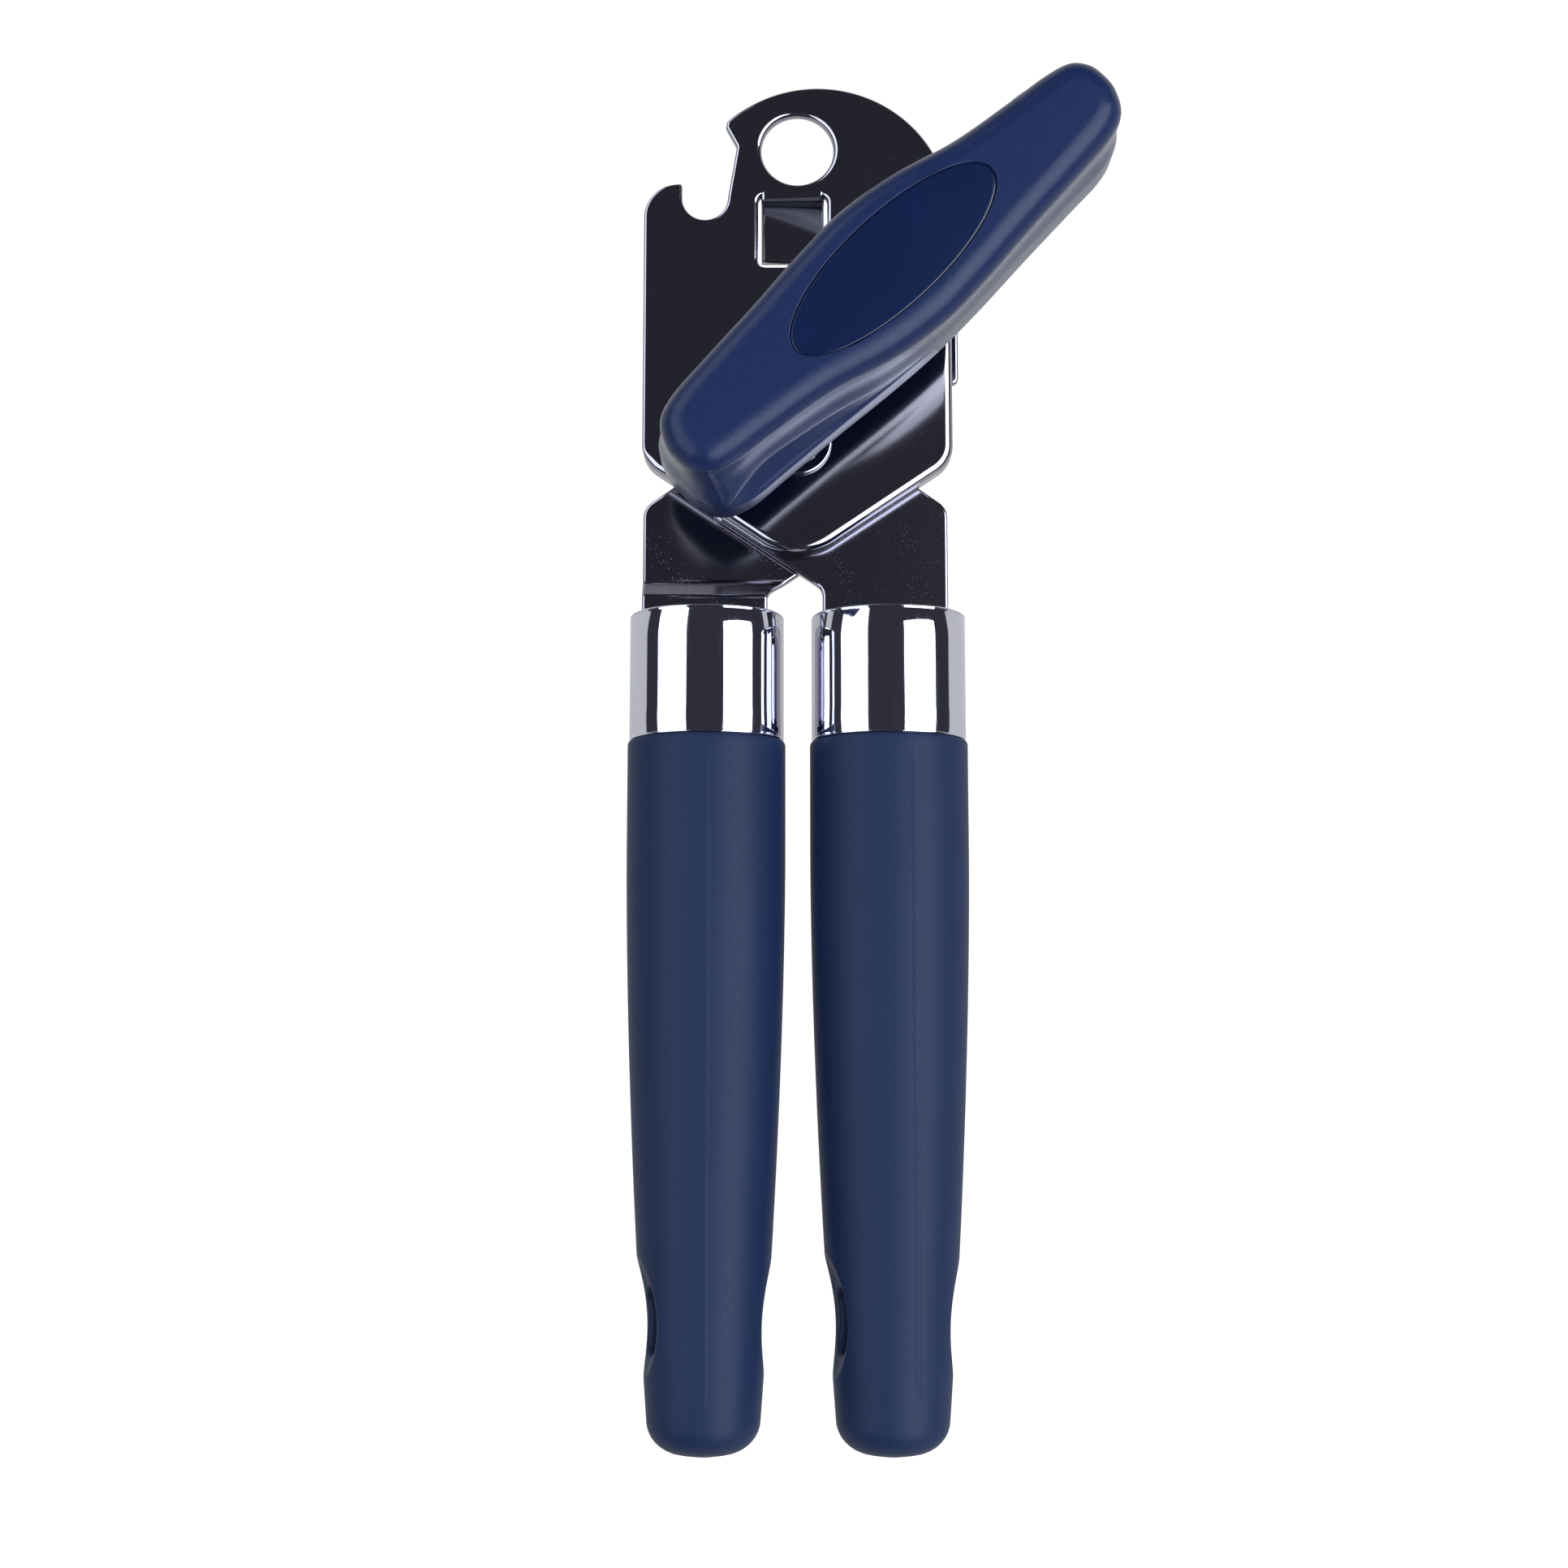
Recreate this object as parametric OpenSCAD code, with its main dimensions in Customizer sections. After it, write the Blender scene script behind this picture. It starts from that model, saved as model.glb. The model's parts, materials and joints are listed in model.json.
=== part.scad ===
// Manual can opener, lying on its back, in millimetres.
// The origin is the centre of the hang hole, in the middle of the head plate's sheet.
// +X is to the right, +Y runs out of the head end, and +Z comes up out of the front plate, towards the knob.

/* [Head plate] */
// Width across the plate's two parallel sides
head_w = 48.4; // [45:0.1:58]
// Height of the round top above the hang hole
head_rise = 10.4; // [9:0.1:14]
// Drop from the hang hole to the point where the two V edges would cross
head_drop = 67; // [64:0.5:84]
// Slope of the V edges
v_angle = 34; // [30:1:38]
// Thickness of the plate's sheet
plate_t = 1.6; // [1.2:0.1:2]
// Depth of the pressed tray, from the front face to the flange's edge
tray_depth = 4; // [3.2:0.1:5]
// Radius of the hang hole
hang_r = 5.7; // [4.5:0.1:6.5]
// How far the left flange starts below the hang hole
left_flange_drop = 17.3; // [14:0.1:30]
// How far the right flange starts below the hang hole
right_flange_drop = 38.5; // [20:0.1:44]

/* [Bottle opener notch] */
// Distance from the plate's left side to the notch's left wall
notch_inset = 6; // [5:0.1:7]
// Radius of the notch's round bottom
notch_r = 3.6; // [3:0.1:3.8]
// How far the centre of the round bottom lies below the hang hole
notch_drop = 7.9; // [7:0.1:10]

/* [Rim guide window] */
// Width of the window that the rim guide tab is cut from
window_w = 10.9; // [8:0.1:12]
// Height of the window
window_h = 11.8; // [10:0.1:12.5]
// How far the window's top lies below the hang hole
window_drop = 7.5; // [7.2:0.1:8]
// How far the tab's free end is pushed back
tab_push = 5.4; // [4:0.1:6]

/* [Arms and pivot] */
// Drop from the hang hole to the handle pivot
pivot_drop = 47.8; // [44:0.1:50]
// Thickness of the two arms
arm_t = 1.8; // [1.5:0.1:2.2]
// Width of each arm where it enters its handle
arm_w = 19.6; // [17:0.1:20]
// How far both arms sit to the left of their handles' centre lines
arm_shift = 0.4; // [0:0.1:0.6]
// Radius of the pivot rivet's shank
pivot_r = 3.2; // [2.5:0.1:4]
// Radius of the rivet's domed head
dome_r = 3.7; // [3.6:0.1:4.4]
// Radius of the ring under the rivet's head
pivot_washer_r = 5.3; // [5:0.1:7]

/* [Drive and cutter] */
// Sideways distance from the hang hole to the drive shaft
shaft_x = 13.8; // [12.5:0.1:15]
// Drop from the hang hole to the drive shaft
shaft_drop = 28.3; // [27:0.1:30]
// Radius of the drive shaft
shaft_r = 3; // [2.5:0.1:3.4]
// Teeth on each gear
gear_teeth = 19; // [17:1:20]
// Gear module, the pitch diameter for each tooth
gear_module = 1; // [0.95:0.01:1.2]
// Thickness of the gears
gear_t = 2; // [1.5:0.1:3]
// Thickness of the serrated feed wheel
feed_t = 2.6; // [2:0.1:4]
// Serrations round the feed wheel
feed_teeth = 30; // [20:1:36]
// How far the cutter's edge passes behind the feed wheel
cutter_overlap = 1.1; // [0.6:0.1:1.6]
// Radius of the cutter screw's shoulder
stud_r = 3; // [2.5:0.1:3.4]

/* [Knob] */
// Length of the knob from tip to tip
knob_len = 87; // [70:1:96]
// Width across the knob's middle
knob_w = 22; // [20:0.5:25]
// Width of each knob wing's base near its tip
knob_tip_w = 17; // [13:0.1:18]
// Rounding of the wings' corners, seen from the front
knob_tip_round = 5; // [4.1:0.1:6]
// Height of the lip round the knob's base
knob_lip = 3.4; // [2:0.1:5]
// How far the finger side of each wing stands back from the lip
finger_cut = 3.2; // [1:0.1:4]
// Height of the knob from its base to its flat top
knob_h = 19.4; // [16:0.1:24]
// Gap between the plate's front and the knob's base
knob_gap = 7.6; // [6:0.1:10]
// Angle of the knob's long axis from +X at rest
knob_angle = 44; // [0:1:90]
// Rounding along the knob's top edge
knob_round = 4; // [2:0.1:4]
// Length of the oval inlay
inlay_len = 39.5; // [30:0.5:44]
// Width of the oval inlay
inlay_w = 13.5; // [12:0.1:15]

/* [Handles] */
// Distance between the two handles' centre lines
handle_pitch = 28.2; // [27:0.1:34]
// Width of the chrome collars
collar_w = 23.9; // [22.5:0.1:24.2]
// Depth of the chrome collars, front to back
collar_d = 21.8; // [19:0.1:22.5]
// Length of the chrome collars
collar_len = 19.7; // [14:0.1:26]
// Wall thickness of the collars
collar_t = 0.9; // [0.6:0.1:1.2]
// Length of the soft grips below the collars
grip_len = 107.2; // [86:0.1:140]
// Width of the grips at their top
grip_w = 24.4; // [23:0.1:25.5]
// Depth of the grips, front to back
grip_d = 22.6; // [20:0.1:24]
// Width that the grips taper to at their ends
grip_end_w = 16.2; // [14:0.1:20]
// Thickness of the soft layer over the core
grip_t = 2.2; // [1.6:0.1:2.8]
// Length of the hanging slot through each grip's end
slot_len = 10; // [8:0.1:12]
// Width of the hanging slot
slot_w = 5; // [4.6:0.1:5.6]
// How far the middle of the slot lies from the grip's end
slot_end = 19.7; // [17:0.1:26]

/* [Hidden] */
$fn = 72;

run_fit = 0.05;      // radial clearance of a part that turns on another
seat_fit = 0.02;     // clearance round a part that is fixed in another
layer_gap = 0.3;     // gap between the flat layers that swing past each other
end_play = 0.1;      // axial play of the turning parts
gear_gap = 0.4;      // gap between the drive arm and the gears
mould_gap = 0.05;    // gap between the grip's inside and its core
through = 1;         // how far a cutting shape runs past what it cuts

navy = "#26375f";
dark_navy = "#172a55";
chrome = "#c9ccd2";
black_plate = "#3a3a40";
steel = "#9a9ca1";

// Heights of the layers, front to back
plate_front = plate_t / 2;
plate_back = -plate_t / 2;
flange_edge = plate_front - tray_depth;
cutter_arm_front = flange_edge - layer_gap;
cutter_arm_back = cutter_arm_front - arm_t;
drive_arm_front = cutter_arm_back - layer_gap;
drive_arm_back = drive_arm_front - arm_t;
handle_z = cutter_arm_front - arm_t / 2;
gear_front = drive_arm_back - gear_gap;
gear_back = gear_front - gear_t;
feed_spacer_t = 0.5;
feed_front = gear_back - feed_spacer_t;
feed_back = feed_front - feed_t;
nut_t = 2.2;
nut_back = feed_back - nut_t;
spring_t = 0.5;
spring_front = gear_front + end_play + spring_t;

// Head plate
side_x = head_w / 2;
top_r = side_x - 3.2;
top_centre = [side_x - top_r, head_rise - top_r];
v_tan = tan(v_angle);
v_tip_r = 10;
v_side_r = 5;
shoulder_r = 7;
shoulder_y = -5.6;
notch_x = -side_x + notch_inset + notch_r;
window_x = -0.75;

// Arms
pivot = [0, -pivot_drop];
handle_x = handle_pitch / 2;
arm_reveal = 0.5;
arm_v_drop = head_drop + arm_reveal;
neck_drop = head_drop + 7.6;
boss_r = 12;
tang_len = 42;
tang_w = 12;

// Drive and cutter
shaft = [shaft_x, -shaft_drop];
pitch_r = gear_teeth * gear_module / 2;
mesh_angle = 181;
stud = shaft + 2 * pitch_r * [cos(mesh_angle), sin(mesh_angle)];
jaw_r = 8;
shaft_jaw_r = 9;
bush_r = shaft_r + 1.5;
bush_flange_r = bush_r + 1.8;
bush_flange_t = 0.8;
shaft_flat = shaft_r * 0.8;
drive_r = shaft_r - 0.1;
feed_r = pitch_r - 0.2;
cutter_r = 2 * pitch_r - feed_r + cutter_overlap;
edge_gap = 0.4;
blade_front = feed_back - edge_gap;
blade_t = 0.9;
screw_head_r = stud_r + 1.9;
screw_head_t = 2;
rim = 1.5;           // width of the cutter's spacer and spring washer
feed_clear_r = 2 * pitch_r - feed_r - 0.6;
cutter_back = blade_front - blade_t;

// Knob
knob_base = plate_front + knob_gap;
knob_top = knob_base + knob_h;
hub_r = 6.4;
hub_bottom = plate_front + bush_flange_t + end_play + 0.6;
inlay_t = 1.8;
inlay_sink = 0.2;
inlay_floor = knob_top - inlay_sink - inlay_t;
screw_r = 1.5;
knob_screw_head_r = 3.6;
knob_screw_head_t = 2;
shaft_top = knob_top - 8;

// Handles
collar_bottom = neck_drop + collar_len;
grip_end = collar_bottom + grip_len;
collar_depth = 1.6;
end_round = 5.5;
straight_part = 0.15;
taper_power = 1.75;
flat_share = 0.62;   // radius of the flattened front and back, as a share of the width
slot_y = -(grip_end - slot_end);
mouth_r = 15.7;
mouth_depth = 3;

// An arc of n steps round c, from angle a to angle b
function arc(c, r, a, b, n) = [for (i = [0:n]) c + r * [cos(a + (b - a) * i / n), sin(a + (b - a) * i / n)]];

// The rounded corner at b between the points a and c
function corner(a, b, c, r, n) =
    let(u = (a - b) / norm(a - b),
        v = (c - b) / norm(c - b),
        half = acos(u * v) / 2,
        m = b + (u + v) / norm(u + v) * r / sin(half),
        p = b + u * r / tan(half) - m,
        q = b + v * r / tan(half) - m,
        from = atan2(p[1], p[0]),
        turn = (atan2(q[1], q[0]) - from + 540) % 360 - 180)
    r > 0 ? arc(m, r, from, from + turn, n) : [b];

// A polygon's points with each corner rounded by its own radius
function rounded(pts, radii, n = 8) =
    let(k = len(pts))
    [for (i = [0:k - 1]) each corner(pts[(i + k - 1) % k], pts[i], pts[(i + 1) % k], radii[i], n)];

// A plate between two heights
module slab(top, bottom) {
    translate([0, 0, bottom]) linear_extrude(height = top - bottom) children();
}

// A disc with a hole, between two heights, centred on c
module ring(c, outer, inner, top, bottom) {
    translate([c[0], c[1], 0]) slab(top, bottom) difference() {
        circle(r = outer);
        circle(r = inner);
    }
}

// ---- Head plate ----

// The lower body of the plate, drawn inwards by e: square shoulders, straight sides and a V below
module plate_body(e) {
    x = side_x - e;
    drop = head_drop - e / cos(v_angle);
    side_y = -drop + x * v_tan;
    polygon(rounded(
        [[-x, shoulder_y - e], [-x, side_y], [0, -drop], [x, side_y], [x, top_centre[1]], [0, top_centre[1]],
            [0, shoulder_y - e]],
        [shoulder_r - e, v_side_r - e, v_tip_r - e, v_side_r - e, 0, 0, 0]));
}

module plate_outline(e) {
    plate_body(e);
    translate(top_centre) circle(r = top_r - e, $fn = 120);
}

// The bottle opener's notch: a round bottom with a mouth that opens upwards and to the left
module notch() {
    translate([notch_x, -notch_drop]) circle(r = notch_r);
    polygon([[notch_x - notch_r, -notch_drop], [notch_x - notch_r, shoulder_y + 1],
        [-side_x - through, shoulder_y + 1], [-side_x - through, head_rise + through],
        [notch_x, head_rise + through], [notch_x + 3, 3.6], [notch_x + 5, 0.5],
        [notch_x + notch_r, -notch_drop]]);
}

module window() {
    y = -window_drop - window_h / 2;
    w = window_w / 2;
    h = window_h / 2;
    translate([window_x, y])
        polygon(rounded([[-w, -h], [w, -h], [w, h], [-w, h]], [1, 1, 1, 1]));
}

// The rim guide: a tab still joined along the window's top and pushed back at its free end
module rim_guide() {
    hinge_y = -window_drop + 0.4;
    tip_y = -window_drop - window_h + 1;
    translate([window_x + window_w / 2 - 0.5, 0, 0]) rotate([0, -90, 0])
        linear_extrude(height = window_w - 1)
            polygon([[plate_back, hinge_y + 1], [plate_front, hinge_y], [plate_front - 1.6, hinge_y - 2.2],
                [plate_front - tab_push, tip_y], [plate_back - tab_push, tip_y],
                [plate_back - 1.7, hinge_y - 2.5], [plate_back, hinge_y - 1]]);
}

module head_plate() {
    color(black_plate) difference() {
        union() {
            slab(plate_front, plate_back) difference() {
                plate_outline(0);
                window();
            }
            rim_guide();
            slab(plate_back, flange_edge) intersection() {
                difference() {
                    plate_outline(0);
                    plate_outline(plate_t);
                }
                union() {
                    translate([-side_x - through, -head_drop]) square([side_x + through, head_drop - left_flange_drop]);
                    translate([-through, -head_drop]) square([side_x + 2 * through, head_drop - right_flange_drop]);
                }
            }
        }
        slab(plate_front + through, flange_edge - through) notch();
        translate([0, 0, flange_edge]) cylinder(r = hang_r, h = 2 * tray_depth);
        translate([pivot[0], pivot[1], flange_edge]) cylinder(r = pivot_r + seat_fit, h = 2 * tray_depth);
        translate([shaft[0], shaft[1], flange_edge]) cylinder(r = bush_r + seat_fit, h = 2 * tray_depth);
    }
}

// ---- Pivot ----

module pivot_rivet() {
    head_z = plate_front + 1;
    tail_z = drive_arm_back;
    dome_h = 1.7;
    dome_sphere = (dome_r * dome_r + dome_h * dome_h) / (2 * dome_h);
    color(chrome) translate([pivot[0], pivot[1], 0]) {
        translate([0, 0, tail_z - 1]) cylinder(r = pivot_r, h = head_z - tail_z + 1);
        translate([0, 0, head_z]) cylinder(r = dome_r, h = 0.3);
        intersection() {
            translate([0, 0, head_z + 0.3 + dome_h - dome_sphere]) sphere(r = dome_sphere);
            translate([0, 0, head_z + 0.3]) cylinder(r = dome_r, h = dome_h + through);
        }
        translate([0, 0, tail_z - 1.2]) cylinder(r = pivot_r + 1.6, h = 1.2);
    }
}

module pivot_washer() {
    color(steel) ring(pivot, pivot_washer_r, pivot_r + seat_fit, plate_front + 1, plate_front);
}

module arm_spacer() {
    color(steel) ring(pivot, pivot_r + 2.4, pivot_r + seat_fit, plate_back, cutter_arm_front + end_play);
}

// ---- Arms ----

// The arm whose handle is on the right, between two heights: neck, tang, pivot boss and the link to its jaw
module arm_solid(top, bottom, jaw, r, shift) {
    outer = handle_x + shift + arm_w / 2;
    inner = handle_x + shift - arm_w / 2;
    inner_y = -arm_v_drop - inner * v_tan;
    shoulder = outer - 4.8;
    low_x = -side_x * 0.55;
    low_y = -arm_v_drop - low_x * v_tan;
    slab(top, bottom) polygon(rounded(
        [[inner, -neck_drop - 3], [inner, inner_y], [low_x, low_y], [-boss_r - 2, pivot[1]],
            [boss_r, pivot[1]], [shoulder, -arm_v_drop + shoulder * v_tan + 1.2],
            [outer, -arm_v_drop + shoulder * v_tan - 2.2], [outer, -neck_drop - 3]],
        [0, 2, 3, 4, 6, 1, 3, 0]));
    slab(top, bottom) translate([handle_x - tang_w / 2, -neck_drop - tang_len]) square([tang_w, tang_len]);
    slab(top, bottom) translate(pivot) circle(r = boss_r);
    slab(top, bottom) link(pivot, boss_r, jaw, r);
    slab(top, bottom) translate(jaw) circle(r = r);
}

// The strip that joins a circle of radius a at p to a circle of radius b at q
module link(p, a, q, b) {
    u = (q - p) / norm(q - p);
    n = [-u[1], u[0]];
    polygon([p + a * n, q + b * n, q - b * n, p - a * n]);
}

// The cutter arm is flat and lies between the head plate and the drive arm
module cutter_arm() {
    color(black_plate) difference() {
        arm_solid(cutter_arm_front, cutter_arm_back, stud, jaw_r, -arm_shift);
        translate([pivot[0], pivot[1], cutter_arm_back - through])
            cylinder(r = pivot_r + run_fit, h = arm_t + 2 * through);
        translate([stud[0], stud[1], cutter_arm_back - through])
            cylinder(r = stud_r - 0.5 + seat_fit, h = arm_t + 2 * through);
    }
}

// The drive arm lies behind the cutter arm, and steps forward so that both tangs share one plane
module drive_arm() {
    step_top = -(head_drop + 1.6);
    step_run = 2.6;
    back = drive_arm_front - cutter_arm_front;
    far = -grip_end;
    near = through + head_rise;
    color(black_plate) difference() {
        intersection() {
            union() {
                mirror([1, 0, 0])
                    arm_solid(cutter_arm_front + through, drive_arm_back - through,
                        [-shaft[0], shaft[1]], shaft_jaw_r, arm_shift);
                slab(cutter_arm_front + through, drive_arm_back - through) drive_jaw();
            }
            translate([-2 * side_x, 0, 0]) rotate([90, 0, 90]) linear_extrude(height = 4 * side_x)
                polygon([[near, drive_arm_back], [near, drive_arm_front], [step_top, drive_arm_front],
                    [step_top - step_run, drive_arm_front - back], [far, cutter_arm_front],
                    [far, cutter_arm_back], [step_top - step_run - 0.4, cutter_arm_back],
                    [step_top - 0.4, drive_arm_back]]);
        }
        translate([pivot[0], pivot[1], drive_arm_back - through])
            cylinder(r = pivot_r + seat_fit, h = arm_t + 2 * through);
        translate([shaft[0], shaft[1], drive_arm_back - through])
            cylinder(r = bush_r + seat_fit, h = arm_t + 2 * through);
    }
}

// The drive arm's jaw has a straight side that stands a little proud of the plate's right side
module drive_jaw() {
    proud = 1.4;
    polygon(rounded(
        [[shaft[0], shaft[1] - 8], [side_x + proud, shaft[1] - 8], [side_x + proud, shaft[1] + 7],
            [shaft[0], shaft[1] + shaft_jaw_r]],
        [0, 1, 4, 0]));
}

// ---- Handles ----

// A round w wide whose front and back are flattened to a gentler curve, d deep
module oval_section(w, d) {
    flat_r = flat_share * w;
    intersection() {
        circle(r = w / 2, $fn = 120);
        translate([0, flat_r - d / 2]) circle(r = flat_r, $fn = 120);
        translate([0, d / 2 - flat_r]) circle(r = flat_r, $fn = 120);
    }
}

// Half the grip's width, drawn in by e, at a distance y below the collar
function taper(y) = pow(max(0, (y / grip_len - straight_part) / (1 - straight_part)), taper_power);
function grip_half(y, e) = grip_w / 2 - (grip_w - grip_end_w) / 2 * taper(y) - e;

// The grip's profile, from its top at y = 0 to its round end
function grip_profile(from, e) =
    let(end = grip_len - e,
        turn = end - end_round,
        steps = 16,
        half = grip_half(turn, e))
    concat([[0, from], [grip_half(max(from, 0), e), from]],
        [for (i = [1:steps]) let(y = max(from, 0) + (turn - max(from, 0)) * i / steps) [grip_half(y, e), y]],
        [for (i = [1:6]) let(a = 90 * i / 6) [half - end_round * (1 - cos(a)), turn + end_round * sin(a)]],
        [[0, end]]);

module grip_solid(from, e) {
    intersection() {
        rotate([-90, 0, 0]) mirror([0, 0, 1]) rotate_extrude($fn = 96) polygon(grip_profile(from, e));
        translate([0, grip_len, 0]) rotate([90, 0, 0]) linear_extrude(height = 3 * grip_len)
            oval_section(grip_w + 2 * through - 2 * e, grip_d - 2 * e);
    }
}

// The hanging slot through the handle's end, from side to side
module slot_cut() {
    straight = slot_len - slot_w;
    translate([0, slot_y + collar_bottom, 0]) rotate([0, 90, 0]) {
        for (s = [-1, 1]) translate([0, s * straight / 2, 0]) cylinder(r = slot_w / 2, h = 2 * grip_w, center = true);
        cube([slot_w, straight, 2 * grip_w], center = true);
    }
}

// The scooped mouths at both ends of the slot, grown by e
module slot_mouths(e) {
    reach = grip_half(grip_len - slot_end, 0) - mouth_depth + mouth_r;
    for (s = [-1, 1]) translate([s * reach, slot_y + collar_bottom, 0]) sphere(r = mouth_r + e);
}

module place_handle(side) {
    translate([side * handle_x, -collar_bottom, handle_z]) children();
}

module collar(side) {
    place_handle(side) translate([0, collar_len, 0]) rotate([90, 0, 0]) linear_extrude(height = collar_len) difference() {
        oval_section(collar_w, collar_d);
        oval_section(collar_w - 2 * collar_t, collar_d - 2 * collar_t);
    }
}

// The moulded core: a plug inside the collar, a body inside the grip and a slit for the tang
module core(side) {
    plug_e = collar_t + mould_gap;
    place_handle(side) difference() {
        union() {
            grip_solid(0, grip_t + mould_gap);
            translate([0, collar_len - collar_depth, 0]) rotate([90, 0, 0])
                linear_extrude(height = collar_len - collar_depth)
                    oval_section(collar_w - 2 * plug_e, collar_d - 2 * plug_e);
        }
        translate([-tang_w / 2 - mould_gap, collar_len - tang_len - mould_gap, -arm_t / 2 - mould_gap])
            cube([tang_w + 2 * mould_gap, tang_len + through, arm_t + 2 * mould_gap]);
        translate([-arm_shift - arm_w / 2 - mould_gap, collar_len - 3 - mould_gap, -arm_t / 2 - mould_gap])
            cube([arm_w + 2 * mould_gap, 3 + through, arm_t + 2 * mould_gap]);
        slot_cut();
        slot_mouths(grip_t + mould_gap);
    }
}

module grip(side) {
    place_handle(side) difference() {
        grip_solid(0, 0);
        difference() {
            grip_solid(-2 * through, grip_t);
            slot_mouths(grip_t);
        }
        slot_cut();
        slot_mouths(0);
    }
}

module left_collar() { color(chrome) collar(-1); }
module right_collar() { color(chrome) collar(1); }
module left_core() { color("#1c2438") core(-1); }
module right_core() { color("#1c2438") core(1); }
module left_grip() { color(navy) grip(-1); }
module right_grip() { color(navy) grip(1); }

// ---- Knob ----

// A disc with a rounded top edge, for the knob's hull
module pebble(r, h, edge) {
    rotate_extrude($fn = 32) polygon(concat([[0, 0], [r, 0]], arc([r - edge, h - edge], edge, 0, 90, 5), [[0, h]]));
}

module knob_frame() {
    translate([shaft[0], shaft[1], 0]) rotate([0, 0, knob_angle]) children();
}

// An oval of points, for the inlay and its recess
module oval(length, width) {
    polygon([for (i = [0:71]) [length / 2 * cos(5 * i), width / 2 * sin(5 * i)]]);
}

// A middle with two blunt wings w wide, each pushed sideways by shift so that its finger side stands back
module wings(w, shift, h, edge) {
    out = knob_len / 2 - knob_tip_round;
    aside = w / 2 - knob_tip_round;
    translate([0, 0, knob_base]) hull() {
        pebble(knob_w / 2, h, edge);
        for (s = [-1, 1]) for (p = [-1, 1]) translate([s * out, p * aside - s * shift, 0])
            pebble(knob_tip_round, h, edge);
    }
}

module knob_body() {
    lip_round = 1.6;
    color(navy) difference() {
        union() {
            knob_frame() {
                wings(knob_tip_w - finger_cut, finger_cut / 2, knob_h, knob_round);
                wings(knob_tip_w, 0, knob_lip, lip_round);
            }
            translate([shaft[0], shaft[1], hub_bottom]) cylinder(r = hub_r, h = knob_base - hub_bottom + 1);
        }
        knob_frame() slab(knob_top + through, inlay_floor) oval(inlay_len + 0.2, inlay_w + 0.2);
        shaft_shape(shaft_top, hub_bottom - through, seat_fit);
        translate([shaft[0], shaft[1], 0]) {
            translate([0, 0, shaft_top - through]) cylinder(r = screw_r + 0.2, h = knob_h);
            translate([0, 0, inlay_floor - knob_screw_head_t - 0.2]) cylinder(r = knob_screw_head_r + 0.2, h = knob_h);
        }
    }
}

module knob_inlay() {
    color(dark_navy) knob_frame() slab(knob_top - inlay_sink, inlay_floor) oval(inlay_len, inlay_w);
}

module knob_screw() {
    head_z = inlay_floor - knob_screw_head_t - 0.2;
    color(steel) translate([shaft[0], shaft[1], 0]) difference() {
        union() {
            translate([0, 0, head_z]) cylinder(r = knob_screw_head_r, h = knob_screw_head_t);
            translate([0, 0, shaft_top - 7]) cylinder(r = screw_r, h = head_z - shaft_top + 7.5);
        }
        for (a = [0, 90]) rotate([0, 0, a])
            translate([-2, -0.4, head_z + knob_screw_head_t - 1]) cube([4, 0.8, 2]);
    }
}

module knob_washer() {
    color(steel) ring(shaft, hub_r - 0.4, shaft_r + run_fit, hub_bottom, plate_front + bush_flange_t + end_play);
}

// ---- Drive train ----

// The shaft's double-flatted drive section between two heights, grown by e
module shaft_shape(top, bottom, e) {
    translate([shaft[0], shaft[1], 0]) slab(top, bottom) intersection() {
        circle(r = drive_r + e);
        rotate(knob_angle) square([2 * shaft_flat + 2 * e, 4 * shaft_r], center = true);
    }
}

module drive_shaft() {
    color(steel) difference() {
        union() {
            shaft_shape(shaft_top, hub_bottom, 0);
            translate([shaft[0], shaft[1], gear_front]) cylinder(r = shaft_r, h = hub_bottom - gear_front);
            shaft_shape(gear_front, nut_back - 0.6, 0);
        }
        translate([shaft[0], shaft[1], shaft_top - 9]) cylinder(r = screw_r + seat_fit, h = 9 + through);
    }
}

module shaft_bushing() {
    color(steel) {
        ring(shaft, bush_r, shaft_r + run_fit, plate_front, drive_arm_back);
        ring(shaft, bush_flange_r, shaft_r + run_fit, plate_front + bush_flange_t, plate_front);
    }
}

// A spur gear: straight flanks that lean by the pressure angle, with backlash at the pitch circle
module gear_outline() {
    pressure_angle = 20;
    backlash = 0.3;
    half = (PI * gear_module / 2 - backlash) / 2;
    tip = 0.9 * gear_module;
    root = 1.2 * gear_module;
    lean = tan(pressure_angle);
    step = 360 / gear_teeth;
    tip_a = (half - tip * lean) / (pitch_r + tip) * 180 / PI;
    root_a = (half + root * lean) / (pitch_r - root) * 180 / PI;
    polygon([for (i = [0:gear_teeth - 1]) for (p = [[-root_a, -root], [-tip_a, tip], [tip_a, tip], [root_a, -root]])
        (pitch_r + p[1]) * [cos(i * step + p[0]), sin(i * step + p[0])]]);
}

module drive_gear() {
    color(steel) difference() {
        translate([shaft[0], shaft[1], 0]) rotate([0, 0, mesh_angle]) slab(gear_front, gear_back) gear_outline();
        shaft_shape(gear_front + through, gear_back - through, seat_fit);
    }
}

module feed_spacer() {
    color(steel) difference() {
        translate([shaft[0], shaft[1], 0]) slab(gear_back, feed_front) circle(r = shaft_r + 3);
        shaft_shape(gear_back + through, feed_front - through, seat_fit);
    }
}

// The feed wheel's serrations bite under the can's rim
module feed_wheel() {
    tooth = 0.8;
    step = 360 / feed_teeth;
    color(steel) difference() {
        translate([shaft[0], shaft[1], 0]) slab(feed_front, feed_back)
            polygon([for (i = [0:feed_teeth - 1]) for (p = [[0, -tooth], [0.35, 0], [0.6, 0], [0.95, -tooth]])
                (feed_r + p[1]) * [cos((i + p[0]) * step), sin((i + p[0]) * step)]]);
        shaft_shape(feed_front + through, feed_back - through, seat_fit);
    }
}

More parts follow.
